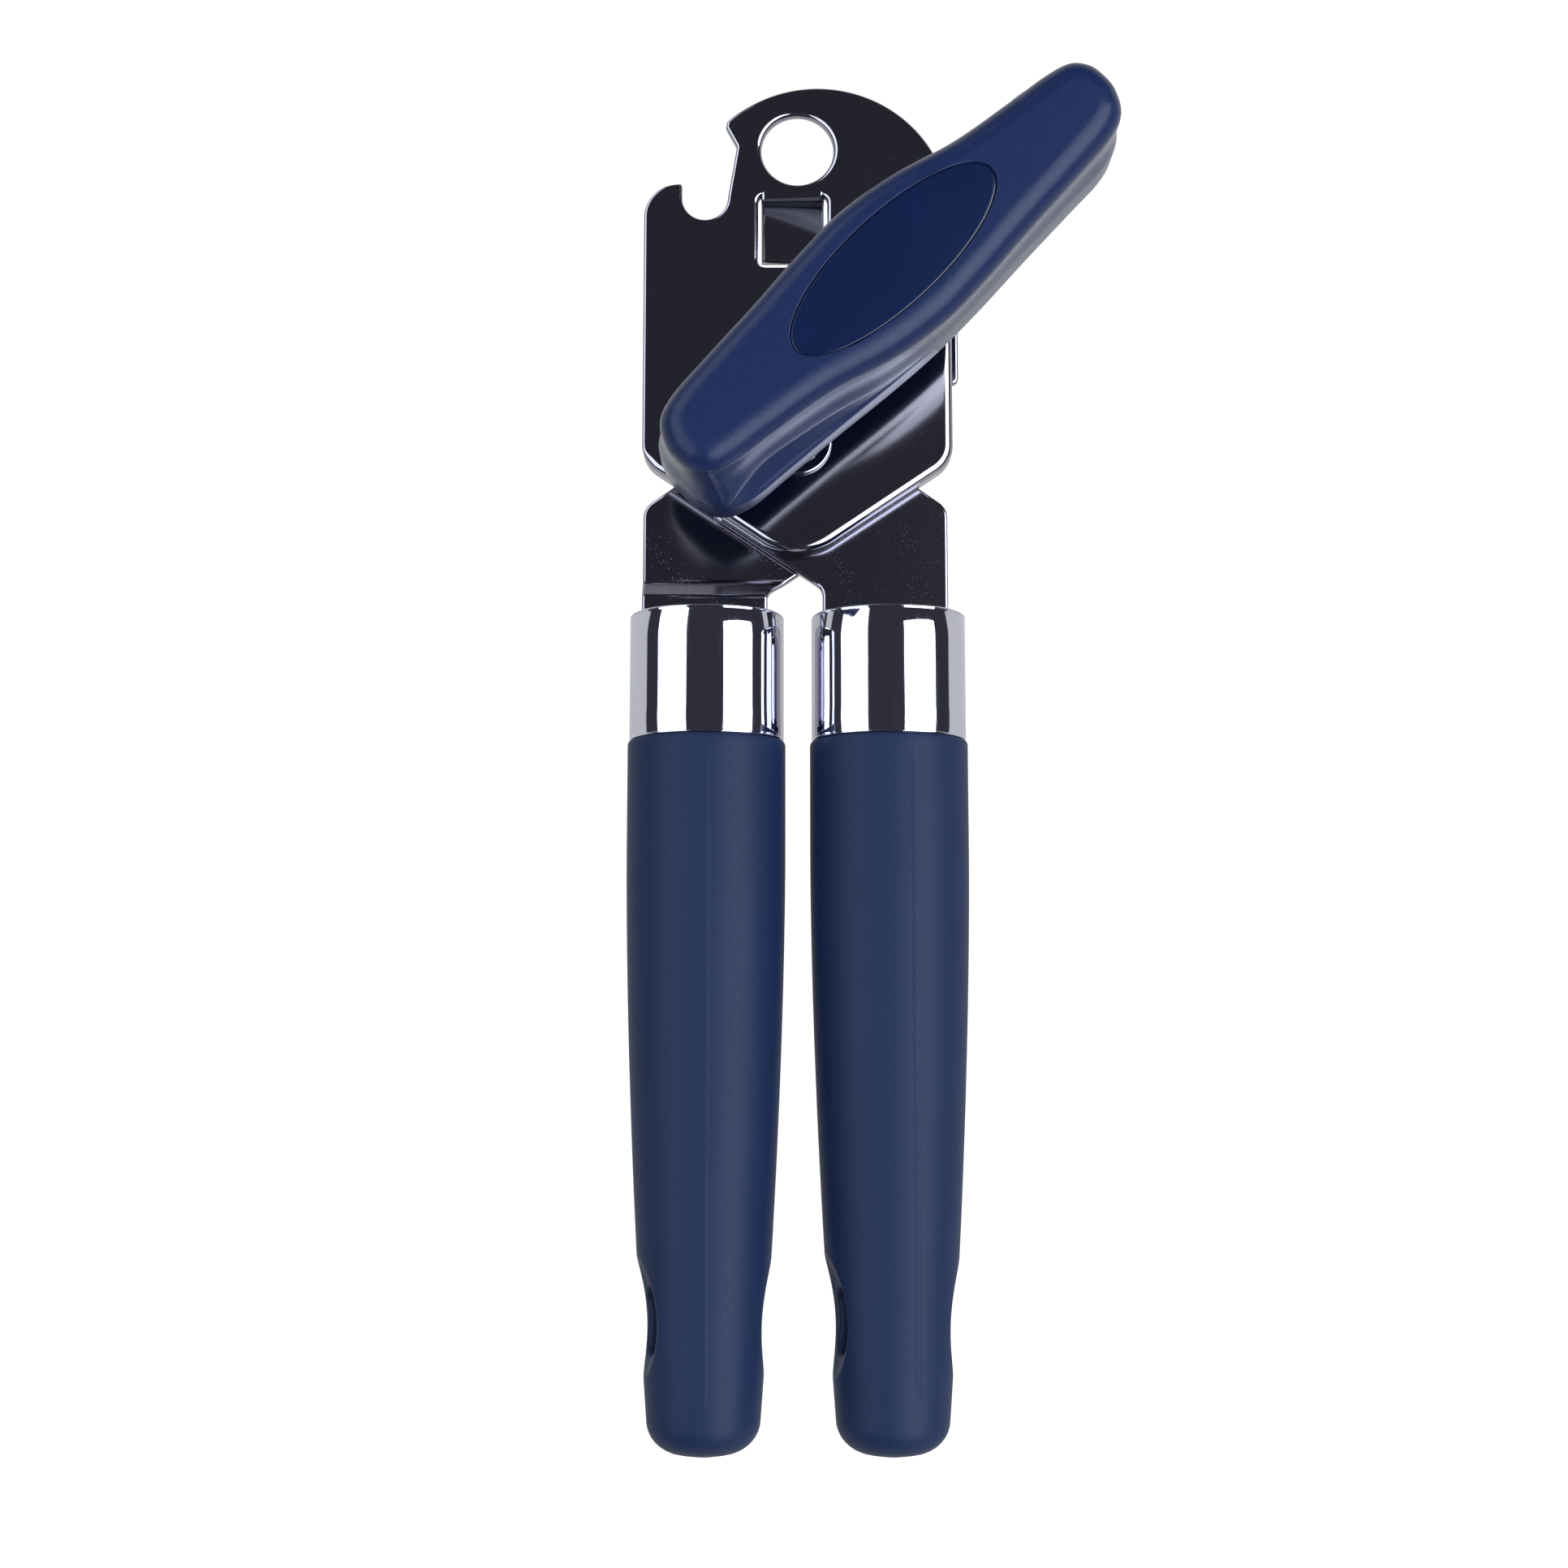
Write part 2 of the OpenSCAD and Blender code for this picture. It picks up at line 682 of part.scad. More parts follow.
module shaft_nut() {
    color(steel) difference() {
        translate([shaft[0], shaft[1], 0]) slab(feed_back, nut_back) circle(r = shaft_r + 2.2, $fn = 6);
        shaft_shape(feed_back + through, nut_back - through, seat_fit);
    }
}

// ---- Cutter ----

// The shouldered screw that the cutter turns on, fixed in the cutter arm
module cutter_screw() {
    head_z = cutter_back - end_play - screw_head_t;
    color(steel) translate([stud[0], stud[1], 0]) difference() {
        union() {
            translate([0, 0, cutter_arm_back]) cylinder(r = stud_r - 0.5, h = arm_t);
            translate([0, 0, head_z]) cylinder(r = stud_r, h = cutter_arm_back - head_z);
            translate([0, 0, head_z]) cylinder(r = screw_head_r, h = screw_head_t);
        }
        translate([-screw_head_r - through, -0.6, head_z - through])
            cube([2 * screw_head_r + 2 * through, 1.2, through + 1]);
    }
}

module cutter_spacer() {
    color(steel) ring(stud, stud_r + rim, stud_r + seat_fit, cutter_arm_back, spring_front);
}

module spring_washer() {
    color(steel) ring(stud, stud_r + rim, stud_r + seat_fit, spring_front, spring_front - spring_t);
}

module cutter_gear() {
    color(steel) difference() {
        translate([stud[0], stud[1], 0]) rotate([0, 0, mesh_angle + 180 + 180 / gear_teeth])
            slab(gear_front, gear_back) gear_outline();
        translate([stud[0], stud[1], gear_back - through]) cylinder(r = stud_r + run_fit, h = gear_t + 2 * through);
    }
}

// The cutter wheel: a hub behind the gear, and a disc ground to an edge that passes behind the feed wheel
module cutter_wheel() {
    hub = stud_r + 3.4;
    bevel = 2.6;
    color(chrome) translate([stud[0], stud[1], 0]) rotate_extrude($fn = 96) polygon([
        [stud_r + run_fit, gear_back], [hub, gear_back], [hub, blade_front + 0.5], [feed_clear_r, blade_front],
        [cutter_r - 0.2, blade_front], [cutter_r, blade_front - 0.1], [cutter_r - bevel, cutter_back],
        [stud_r + run_fit, cutter_back]]);
}

head_plate();
pivot_rivet();
pivot_washer();
arm_spacer();
drive_arm();
cutter_arm();
left_collar();
right_collar();
left_core();
right_core();
left_grip();
right_grip();
knob_body();
knob_inlay();
knob_screw();
drive_shaft();
shaft_bushing();
knob_washer();
drive_gear();
feed_spacer();
feed_wheel();
shaft_nut();
cutter_screw();
cutter_spacer();
spring_washer();
cutter_gear();
cutter_wheel();
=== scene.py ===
import json
import math
import bmesh
import bpy
import numpy as np
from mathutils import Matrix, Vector, geometry


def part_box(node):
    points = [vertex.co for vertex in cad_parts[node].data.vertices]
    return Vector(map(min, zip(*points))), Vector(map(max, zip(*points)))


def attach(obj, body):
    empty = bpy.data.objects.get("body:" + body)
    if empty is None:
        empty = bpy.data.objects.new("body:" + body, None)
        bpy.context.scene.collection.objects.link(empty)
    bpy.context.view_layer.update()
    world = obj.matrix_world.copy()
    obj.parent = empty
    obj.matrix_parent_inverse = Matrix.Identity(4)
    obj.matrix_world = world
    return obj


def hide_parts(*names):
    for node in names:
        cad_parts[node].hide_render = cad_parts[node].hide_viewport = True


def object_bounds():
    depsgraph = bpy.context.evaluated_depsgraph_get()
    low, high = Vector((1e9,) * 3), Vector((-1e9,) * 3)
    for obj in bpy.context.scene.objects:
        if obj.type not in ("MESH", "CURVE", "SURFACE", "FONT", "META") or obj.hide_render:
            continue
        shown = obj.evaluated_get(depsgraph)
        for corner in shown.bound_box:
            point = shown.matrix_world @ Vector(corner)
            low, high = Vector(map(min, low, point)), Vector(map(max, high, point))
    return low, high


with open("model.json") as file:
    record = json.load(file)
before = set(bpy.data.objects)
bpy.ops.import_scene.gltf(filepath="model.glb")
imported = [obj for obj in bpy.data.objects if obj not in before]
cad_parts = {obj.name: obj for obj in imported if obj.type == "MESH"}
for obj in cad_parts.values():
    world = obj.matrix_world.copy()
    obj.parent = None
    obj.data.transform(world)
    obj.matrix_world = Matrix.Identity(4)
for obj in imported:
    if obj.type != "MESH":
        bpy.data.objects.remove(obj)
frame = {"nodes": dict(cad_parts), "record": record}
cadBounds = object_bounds()
nodes = frame["nodes"]
mm = 0.001
mounts = {m["name"]: m["pos_m"] for m in frame["record"]["mounts"]}


def toLinear(hexColour):
    # sRGB hex to the linear colour that a shader takes
    c = np.array([int(hexColour[i:i + 2], 16) for i in (1, 3, 5)]) / 255
    c = np.where(c <= 0.04045, c / 12.92, ((c + 0.055) / 1.055) ** 2.4)
    return (float(c[0]), float(c[1]), float(c[2]), 1.0)


def addNode(tree, kind, settings=None, links=None):
    # one node: settings go to its sockets or attributes by name, links feed its sockets
    node = tree.nodes.new(kind)
    for key, value in (settings or {}).items():
        if isinstance(key, int) or key in node.inputs:
            node.inputs[key].default_value = value
        else:
            setattr(node, key, value)
    for key, source in (links or {}).items():
        tree.links.new(source, node.inputs[key])
    return node


def newMaterial(name, settings):
    material = bpy.data.materials.new(name)
    material.use_nodes = True
    tree = material.node_tree
    shader = tree.nodes["Principled BSDF"]
    for key, value in settings.items():
        shader.inputs[key].default_value = value
    return material, tree, shader


def gridQuads(rows, cols, start=0):
    # quads between each row of points and the next, closed round the columns
    r = np.arange(rows - 1)[:, None] * cols
    c = np.arange(cols)[None, :]
    n = (c + 1) % cols
    return (start + np.stack([r + c, r + n, r + cols + n, r + cols + c], -1)).reshape(-1, 4)


def bandQuads(loopA, loopB):
    # quads between two closed loops of the same length
    return np.stack([loopA, np.roll(loopA, -1), np.roll(loopB, -1), loopB], -1)


def makePiece(name, points, faces, body, material, replaced, flatFaces=()):
    # puts arrays into a mesh, welds its seams and poles, turns it outwards and gives it to its body
    mesh = bpy.data.meshes.new(name)
    allFaces = [list(map(int, f)) for f in faces] + [list(map(int, f)) for f in flatFaces]
    mesh.from_pydata(np.asarray(points, float).reshape(-1, 3).tolist(), [], allFaces)
    smooth = np.ones(len(allFaces), bool)
    smooth[len(faces):] = False
    mesh.polygons.foreach_set("use_smooth", smooth)
    work = bmesh.new()
    work.from_mesh(mesh)
    bmesh.ops.remove_doubles(work, verts=work.verts, dist=2e-7)
    bmesh.ops.recalc_face_normals(work, faces=work.faces)
    work.to_mesh(mesh)
    work.free()
    piece = bpy.data.objects.new(name, mesh)
    bpy.context.scene.collection.objects.link(piece)
    mesh.materials.append(material)
    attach(piece, body)
    if replaced:
        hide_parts(replaced)
    print(name, len(mesh.vertices), "points")
    return piece


def smoothStep(a, b, x):
    t = np.clip((x - a) / (b - a), 0, 1)
    return t * t * (3 - 2 * t)


def periodicCurve(control, count):
    # a closed Catmull-Rom curve through the control points, count samples, evenly spread over the spans
    control = np.asarray(control, float)
    n = len(control)
    t = np.arange(count) * n / count
    i = t.astype(int)
    f = (t - i)[:, None]
    p0, p1, p2, p3 = (control[(i + k) % n] for k in (-1, 0, 1, 2))
    square = (2 * p0 - 5 * p1 + 4 * p2 - p3) * f ** 2
    cube = (3 * p1 - p0 - 3 * p2 + p3) * f ** 3
    return 0.5 * (2 * p1 + (p2 - p0) * f + square + cube)


def objectCoords(tree):
    return addNode(tree, "ShaderNodeTexCoord").outputs["Object"]


def makeSoftGrip():
    # thermoplastic rubber moulded in a spark-textured mould: matte, with a soft sheen and a fine grain
    look = {"colour": "#12203c", "pale": "#152442", "grainMm": 0.35, "roughness": 0.5}
    mat, tree, shader = newMaterial("thermoplastic rubber", {
        "Roughness": look["roughness"], "IOR": 1.5, "Specular IOR Level": 0.17})
    where = objectCoords(tree)
    # slow cloudiness of the moulded rubber, 9 mm across
    cloud = addNode(tree, "ShaderNodeTexNoise", {"Scale": 1 / (9 * mm), "Detail": 3.0}, {"Vector": where})
    colour = addNode(tree, "ShaderNodeMix", {
        "data_type": "RGBA", 6: toLinear(look["colour"]),
        7: toLinear(look["pale"])}, {0: cloud.outputs["Fac"]})
    tree.links.new(colour.outputs[2], shader.inputs["Base Color"])
    # spark texture, drawn 0.35 mm coarse so that it still shows
    grain = addNode(tree, "ShaderNodeTexNoise", {
        "Scale": 1 / (look["grainMm"] * mm), "Detail": 4.0, "Roughness": 0.6}, {"Vector": where})
    rough = addNode(tree, "ShaderNodeMapRange", {
        "From Min": 0.3, "From Max": 0.7, "To Min": look["roughness"] - 0.06,
        "To Max": look["roughness"] + 0.06}, {"Value": grain.outputs["Fac"]})
    tree.links.new(rough.outputs[0], shader.inputs["Roughness"])
    bump = addNode(tree, "ShaderNodeBump", {
        "Strength": 0.6, "Distance": 0.05 * mm}, {"Height": grain.outputs["Fac"]})
    tree.links.new(bump.outputs[0], shader.inputs["Normal"])
    return mat


def makeKnobPlastic():
    # ABS moulded in a finely etched tool: satin, with soft wide highlights
    look = {"colour": "#0d1b3c", "pale": "#122248", "grainMm": 0.3}
    mat, tree, shader = newMaterial("moulded ABS satin", {
        "Roughness": 0.44, "IOR": 1.52, "Specular IOR Level": 0.13,
        # the skin is slightly burnished, which only shows at low angles
        "Coat Weight": 1.0, "Coat IOR": 1.2, "Coat Roughness": 0.24})
    where = objectCoords(tree)
    # flow mottle of the moulding, 0.9 mm across
    cloud = addNode(tree, "ShaderNodeTexNoise", {
        "Scale": 1 / (0.9 * mm), "Detail": 5.0, "Roughness": 0.7}, {"Vector": where})
    colour = addNode(tree, "ShaderNodeMix", {
        "data_type": "RGBA", 6: toLinear(look["colour"]),
        7: toLinear(look["pale"])}, {0: cloud.outputs["Fac"]})
    tree.links.new(colour.outputs[2], shader.inputs["Base Color"])
    # etched grain, drawn 0.3 mm coarse so that it still shows
    grain = addNode(tree, "ShaderNodeTexNoise", {
        "Scale": 1 / (look["grainMm"] * mm), "Detail": 3.0}, {"Vector": where})
    rough = addNode(tree, "ShaderNodeMapRange", {
        "From Min": 0.3, "From Max": 0.7, "To Min": 0.4, "To Max": 0.48}, {"Value": grain.outputs["Fac"]})
    tree.links.new(rough.outputs[0], shader.inputs["Roughness"])
    bump = addNode(tree, "ShaderNodeBump", {
        "Strength": 0.7, "Distance": 0.05 * mm}, {"Height": grain.outputs["Fac"]})
    tree.links.new(bump.outputs[0], shader.inputs["Normal"])
    tree.links.new(bump.outputs[0], shader.inputs["Coat Normal"])
    return mat


def makeInlayPlastic():
    # ABS moulded in a polished tool: smooth and glossy, with faint flow marks
    mat, tree, shader = newMaterial("moulded ABS polished", {"Roughness": 0.16, "IOR": 1.52})
    where = objectCoords(tree)
    flow = addNode(tree, "ShaderNodeTexNoise", {"Scale": 1 / (6 * mm), "Detail": 2.0}, {"Vector": where})
    colour = addNode(tree, "ShaderNodeMix", {
        "data_type": "RGBA", 6: toLinear("#0a1736"), 7: toLinear("#0c1a3a")}, {0: flow.outputs["Fac"]})
    tree.links.new(colour.outputs[2], shader.inputs["Base Color"])
    bump = addNode(tree, "ShaderNodeBump", {
        "Strength": 0.15, "Distance": 0.02 * mm}, {"Height": flow.outputs["Fac"]})
    tree.links.new(bump.outputs[0], shader.inputs["Normal"])
    return mat


def makePlatedSheet(name, colour, waveMm, waveStrength, speckStrength, roughness):
    # pressed steel with bright plating: a dark mirror with slight press waves and tiny specks in the plating
    mat, tree, shader = newMaterial(name, {
        "Base Color": toLinear(colour), "Metallic": 1.0, "Roughness": roughness})
    where = objectCoords(tree)
    wave = addNode(tree, "ShaderNodeTexNoise", {"Scale": 1 / (waveMm * mm), "Detail": 2.0}, {"Vector": where})
    # specks one to a 0.42 mm cell, and only where a 9 mm cloud lets them through
    speck = addNode(tree, "ShaderNodeTexVoronoi", {
        "Scale": 1 / (0.42 * mm), "Randomness": 1.0}, {"Vector": where})
    cluster = addNode(tree, "ShaderNodeTexNoise", {"Scale": 1 / (9 * mm), "Detail": 3.0}, {"Vector": where})
    reach = addNode(tree, "ShaderNodeMapRange", {
        "From Min": 0.4, "From Max": 0.75, "To Min": 0.0, "To Max": 0.2}, {"Value": cluster.outputs["Fac"]})
    dot = addNode(tree, "ShaderNodeMath", {"operation": "LESS_THAN"},
                  {0: speck.outputs["Distance"], 1: reach.outputs[0]})
    rough = addNode(tree, "ShaderNodeMapRange", {
        "To Min": roughness, "To Max": roughness + 2.5 * speckStrength}, {"Value": dot.outputs[0]})
    tree.links.new(rough.outputs[0], shader.inputs["Roughness"])
    low = addNode(tree, "ShaderNodeBump", {
        "Strength": waveStrength, "Distance": 0.05 * mm}, {"Height": wave.outputs["Fac"]})
    high = addNode(tree, "ShaderNodeBump", {"Strength": speckStrength, "Distance": 0.02 * mm},
                   {"Height": dot.outputs[0], "Normal": low.outputs[0]})
    tree.links.new(high.outputs[0], shader.inputs["Normal"])
    return mat


def makeChrome():
    # chrome-plated deep-drawn sleeve: a clean mirror with faint drawing lines along its length
    mat, tree, shader = newMaterial("chrome-plated steel", {
        "Base Color": toLinear("#cfcfdb"), "Metallic": 1.0, "Roughness": 0.03})
    where = objectCoords(tree)
    stretch = addNode(tree, "ShaderNodeMapping", {"Scale": (1.0, 0.04, 1.0)}, {"Vector": where})
    lines = addNode(tree, "ShaderNodeTexNoise", {
        "Scale": 1 / (0.8 * mm), "Detail": 3.0}, {"Vector": stretch.outputs[0]})
    rough = addNode(tree, "ShaderNodeMapRange", {
        "From Min": 0.35, "From Max": 0.75, "To Min": 0.02, "To Max": 0.09}, {"Value": lines.outputs["Fac"]})
    tree.links.new(rough.outputs[0], shader.inputs["Roughness"])
    bump = addNode(tree, "ShaderNodeBump", {
        "Strength": 0.05, "Distance": 0.02 * mm}, {"Height": lines.outputs["Fac"]})
    tree.links.new(bump.outputs[0], shader.inputs["Normal"])
    return mat


def makeTurnedSteel(name, colour, roughness, grainMm):
    # plain steel from the lathe or the press: fine grain and a slightly uneven grey
    mat, tree, shader = newMaterial(name, {"Metallic": 1.0, "Roughness": roughness})
    where = objectCoords(tree)
    grain = addNode(tree, "ShaderNodeTexNoise", {
        "Scale": 1 / (grainMm * mm), "Detail": 5.0}, {"Vector": where})
    base = np.array(toLinear(colour))
    dark = tuple((base * (0.8, 0.8, 0.8, 1)).tolist())
    tone = addNode(tree, "ShaderNodeMix", {
        "data_type": "RGBA", 6: dark, 7: tuple(base.tolist())}, {0: grain.outputs["Fac"]})
    tree.links.new(tone.outputs[2], shader.inputs["Base Color"])
    rough = addNode(tree, "ShaderNodeMapRange", {"To Min": roughness - 0.08, "To Max": roughness + 0.1},
                    {"Value": grain.outputs["Fac"]})
    tree.links.new(rough.outputs[0], shader.inputs["Roughness"])
    bump = addNode(tree, "ShaderNodeBump", {
        "Strength": 0.2, "Distance": 0.02 * mm}, {"Height": grain.outputs["Fac"]})
    tree.links.new(bump.outputs[0], shader.inputs["Normal"])
    return mat


def makeCorePlastic():
    # polypropylene core, moulded: dull and almost black blue
    mat, tree, shader = newMaterial("moulded polypropylene", {"Roughness": 0.5, "IOR": 1.49})
    where = objectCoords(tree)
    cloud = addNode(tree, "ShaderNodeTexNoise", {"Scale": 1 / (2 * mm), "Detail": 3.0}, {"Vector": where})
    colour = addNode(tree, "ShaderNodeMix", {
        "data_type": "RGBA", 6: toLinear("#1b2744"), 7: toLinear("#202d4c")}, {0: cloud.outputs["Fac"]})
    tree.links.new(colour.outputs[2], shader.inputs["Base Color"])
    return mat


softGrip = makeSoftGrip()
knobPlastic = makeKnobPlastic()
inlayPlastic = makeInlayPlastic()
plateMirror = makePlatedSheet("nickel-plated steel, polished", "#a4a2ac", 7, 0.06, 0.05, 0.1)
armMirror = makePlatedSheet("nickel-plated steel, as pressed", "#96949f", 5, 0.08, 0.32, 0.13)
chrome = makeChrome()
turnedSteel = makeTurnedSteel("turned steel", "#a9a9ad", 0.3, 0.5)
gearSteel = makeTurnedSteel("tumbled steel", "#98989c", 0.36, 0.4)
bladeSteel = makeTurnedSteel("ground hardened steel", "#b9b9bd", 0.2, 0.6)
corePlastic = makeCorePlastic()
print("materials made")

nodeFinish = {
    "plated_sheet": armMirror, "bright_steel": chrome, "bright_collar": chrome, "handle_core": corePlastic,
    "soft_grip": softGrip, "knob_plastic": knobPlastic, "inlay_plastic": inlayPlastic,
    "plain_steel": turnedSteel, "gear_steel": gearSteel, "blade_steel": bladeSteel}
for part in frame["record"]["subparts"]:
    obj = nodes[part["node"]]
    finish = nodeFinish[part["material_slot"]]
    if not obj.material_slots:
        obj.data.materials.append(finish)
    for s in obj.material_slots:
        s.material = finish


grip = {
    "squareness": 2.12,       # power of the oval section, 2 is an ellipse
    "endWidth": 16.2 * mm, "endRound": 5.5 * mm, "endCrown": 0.5 * mm,
    "straight": 0.15, "taperPower": 1.75,
    "wall": 2.2 * mm,
    "mouthRadius": 15.7 * mm, "mouthDepth": 3.0 * mm, "mouthSoftness": 0.5 * mm,
    # the mouths are cut a little towards the front on -X
    "mouthTilt": {"left": 4.4 * mm, "right": 3.2 * mm},
    "slotLength": 10 * mm, "slotWidth": 5 * mm, "slotRim": 0.8 * mm,
    "around": 240, "coarseRows": 40, "fineFrom": 12.6 * mm, "fineStep": 0.34 * mm,
    "seamHeight": 0.11 * mm, "seamWidth": 0.5 * mm,
}


def softMin(a, b, k):
    # the smaller of two values, rounded over where they are within k of each other
    h = np.clip(k - np.abs(a - b), 0, None) / k
    return np.minimum(a, b) - h * h * k / 4


def makeGrip(side, body, turnSeam):
    # section: |x/a|^p + |z/b|^p = 1, with a and b tapering down the handle;
    # each side is then limited to a ball-shaped mouth, x <= reach - sqrt(R^2 - y^2 - z^2), rounded at its rim
    lo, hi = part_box(side + "_grip")
    cx, cz, top = (lo.x + hi.x) / 2, (lo.z + hi.z) / 2, hi.y
    length = hi.y - lo.y
    halfTop, ratioTop = (hi.x - lo.x) / 2, (hi.z - lo.z) / (hi.x - lo.x)
    slotY = top - mounts[side + "_slot"][1]
    n = grip["around"]
    angle = np.arange(n) * 2 * np.pi / n

    def halfAt(y):
        t = np.clip((y / length - grip["straight"]) / (1 - grip["straight"]), 0, None) ** grip["taperPower"]
        return halfTop - (halfTop - grip["endWidth"] / 2) * t

    turnStart = length - grip["endRound"]
    # rows far apart down the plain shaft, and close together round the slot
    plain = np.linspace(1.5 * mm, slotY - grip["fineFrom"] - 0.4 * mm, grip["coarseRows"])
    fine = np.arange(slotY - grip["fineFrom"], turnStart - 0.3 * mm, grip["fineStep"])
    y = np.concatenate([[0.5 * mm], plain, fine])
    half = halfAt(y)
    a = np.radians([0, 10, 20, 30, 40, 50, 60, 70, 80, 90])
    endHalf = halfAt(turnStart)
    yEnd = turnStart + (grip["endRound"] - grip["endCrown"]) * np.sin(a)
    halfEnd = endHalf - grip["endRound"] * (1 - np.cos(a))
    capScale = np.array([0.8, 0.6, 0.4, 0.2, 0.0])
    yCap = length - grip["endCrown"] * capScale ** 2
    halfCap = halfEnd[-1] * capScale
    y = np.concatenate([[0, 0.07 * mm, 0.22 * mm], y, yEnd, yCap])
    half = np.concatenate([halfTop - np.array([0.5, 0.25, 0.08]) * mm, half, halfEnd, halfCap])
    ratio = ratioTop + (1 - ratioTop) * smoothStep(0.2 * length, length, y)

    def surface(inset):
        depthRow = np.clip(half * ratio - inset, 0, None)[:, None]
        halfRow = np.clip(half - inset, 0, None)[:, None]
        yIn = y - inset * smoothStep(length - 14 * mm, length, y)
        c, s = np.cos(angle)[None, :], np.sin(angle)[None, :]
        p = 2 / grip["squareness"]
        x = halfRow * np.sign(c) * np.abs(c) ** p
        z = depthRow * np.sign(s) * np.abs(s) ** p
        yy = np.broadcast_to(yIn[:, None], x.shape).copy()
        if inset == 0:
            # mould line down the front, a thin raised seam
            off = x - turnSeam * mm
            seam = grip["seamHeight"] * np.exp(-(off / (grip["seamWidth"] * 0.5)) ** 2) * (s > 0.5)
            fade = smoothStep(2 * mm, 5 * mm, yy) * (1 - smoothStep(length - 12 * mm, length - 6 * mm, yy))
            z = z + seam * fade
        return x, yy, z

    reach = halfAt(slotY) - grip["mouthDepth"] + grip["mouthRadius"]

    def mouthX(x, yy, z, inset):
        r = grip["mouthRadius"] + inset
        d = r * r - (yy - slotY) ** 2 - (z + np.sign(x) * grip["mouthTilt"][side]) ** 2
        return np.where(d > 0, reach - np.sqrt(np.clip(d, 0, None)), 1.0)

    def limited(x, yy, z, inset):
        return np.sign(x) * softMin(np.abs(x), mouthX(x, yy, z, inset), grip["mouthSoftness"])

    straight = (grip["slotLength"] - grip["slotWidth"]) / 2
    radius = grip["slotWidth"] / 2

    def slotDistance(yy, z):
        return np.hypot(np.clip(np.abs(yy - slotY) - straight, 0, None), z) - radius

    def onSlot(yy, z, grow):
        # the nearest point on the slot's outline, grown by a distance
        core = np.clip(yy - slotY, -straight, straight)
        dy, dz = yy - slotY - core, z
        d = np.hypot(dy, dz)
        return slotY + core + dy / d * (radius + grow), dz / d * (radius + grow)

    rows = len(y)
    outer = surface(0)
    inner = surface(grip["wall"])
    quads = gridQuads(rows, n)
    oy, oz = outer[1].ravel(), outer[2].ravel()
    sideways = np.abs(np.cos(np.tile(angle, rows))) > 0.6
    distance = np.where(sideways, slotDistance(oy, oz), 1.0)
    removed = (distance[quads].mean(1) < grip["slotRim"]) & sideways[quads].all(1)
    edge = np.intersect1d(np.unique(quads[removed]), np.unique(quads[~removed]))
    px, py, pz = (v.ravel().copy() for v in outer)
    py[edge], pz[edge] = onSlot(oy[edge], oz[edge], grip["slotRim"])
    qx, qy, qz = (v.ravel().copy() for v in inner)
    qy[edge], qz[edge] = onSlot(oy[edge], oz[edge], 0)
    px, qx = limited(px, py, pz, 0), limited(qx, qy, qz, grip["wall"])
    points = [np.stack([px, py, pz], -1), np.stack([qx, qy, qz], -1)]
    total = 2 * rows * n
    faces = [quads[~removed], quads[~removed][:, ::-1] + rows * n]
    # the slot's rounded rim and wall, from the outer skin to the inner one
    for sign in (1, -1):
        loop = edge[np.sign(px[edge]) == sign]
        loop = loop[np.argsort(np.arctan2(pz[loop], py[loop] - slotY))]
        last = loop
        for turn in np.radians([22.5, 45, 67.5, 90]):
            wy, wz = onSlot(py[loop], pz[loop], grip["slotRim"] * (1 - np.sin(turn)))
            wx = px[loop] - sign * grip["slotRim"] * (1 - np.cos(turn))
            points.append(np.stack([wx, wy, wz], -1))
            here = total + np.arange(len(loop))
            faces.append(bandQuads(last, here))
            total += len(loop)
            last = here
        faces.append(bandQuads(last, loop + rows * n))
    top0 = np.arange(n)
    faces.append(bandQuads(top0, top0 + rows * n))
    pts = np.concatenate(points)
    world = np.stack([cx + pts[:, 0], top - pts[:, 1], cz + pts[:, 2]], -1)
    faces = np.concatenate(faces)
    return makePiece("grip_" + side, world, faces, body, softGrip, side + "_grip")


makeGrip("left", "drive_side", 0.4)
makeGrip("right", "cutter_side", 3.4)


collar = {"squareness": 2.2, "wall": 0.9 * mm, "rim": 0.35 * mm, "around": 192}


def makeCollar(side, body):
    # a rounded wall profile carried round the oval |x/a|^p + |z/b|^p = 1
    lo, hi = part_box(side + "_collar")
    cx, cz = (lo.x + hi.x) / 2, (lo.z + hi.z) / 2
    a, b, length = (hi.x - lo.x) / 2, (hi.z - lo.z) / 2, hi.y - lo.y
    w, r = collar["wall"], collar["rim"]
    q = np.radians([0, 22.5, 45, 67.5, 90])
    corner = np.stack([r * (1 - np.sin(q)), r * (1 - np.cos(q))], -1)[::-1]      # outer wall to end face
    profile = np.concatenate([
        np.stack([np.full(6, 0.0), np.linspace(length - r - 0.3 * mm, r + 0.3 * mm, 6)], -1),
        corner[::-1], [[w, 0.0], [w, 0.3 * mm], [w, length - 0.3 * mm], [w, length]],
        np.stack([corner[:, 0], length - corner[:, 1]], -1)])
    angle = np.arange(collar["around"]) * 2 * np.pi / collar["around"]
    c, s = np.cos(angle)[None, :], np.sin(angle)[None, :]
    p = 2 / collar["squareness"]
    x = (a - profile[:, :1]) * np.sign(c) * np.abs(c) ** p
    z = (b - profile[:, :1]) * np.sign(s) * np.abs(s) ** p
    yy = np.broadcast_to(lo.y + profile[:, 1:], x.shape)
    points = np.stack([cx + x, yy, cz + z], -1).reshape(-1, 3)
    rows = len(profile)
    firstRow = np.arange(collar["around"])
    lastRow = firstRow + (rows - 1) * collar["around"]
    faces = np.concatenate([gridQuads(rows, collar["around"]), bandQuads(lastRow, firstRow)])
    return makePiece("collar_" + side, points, faces, body, chrome, side + "_collar")


makeCollar("left", "drive_side")
makeCollar("right", "cutter_side")


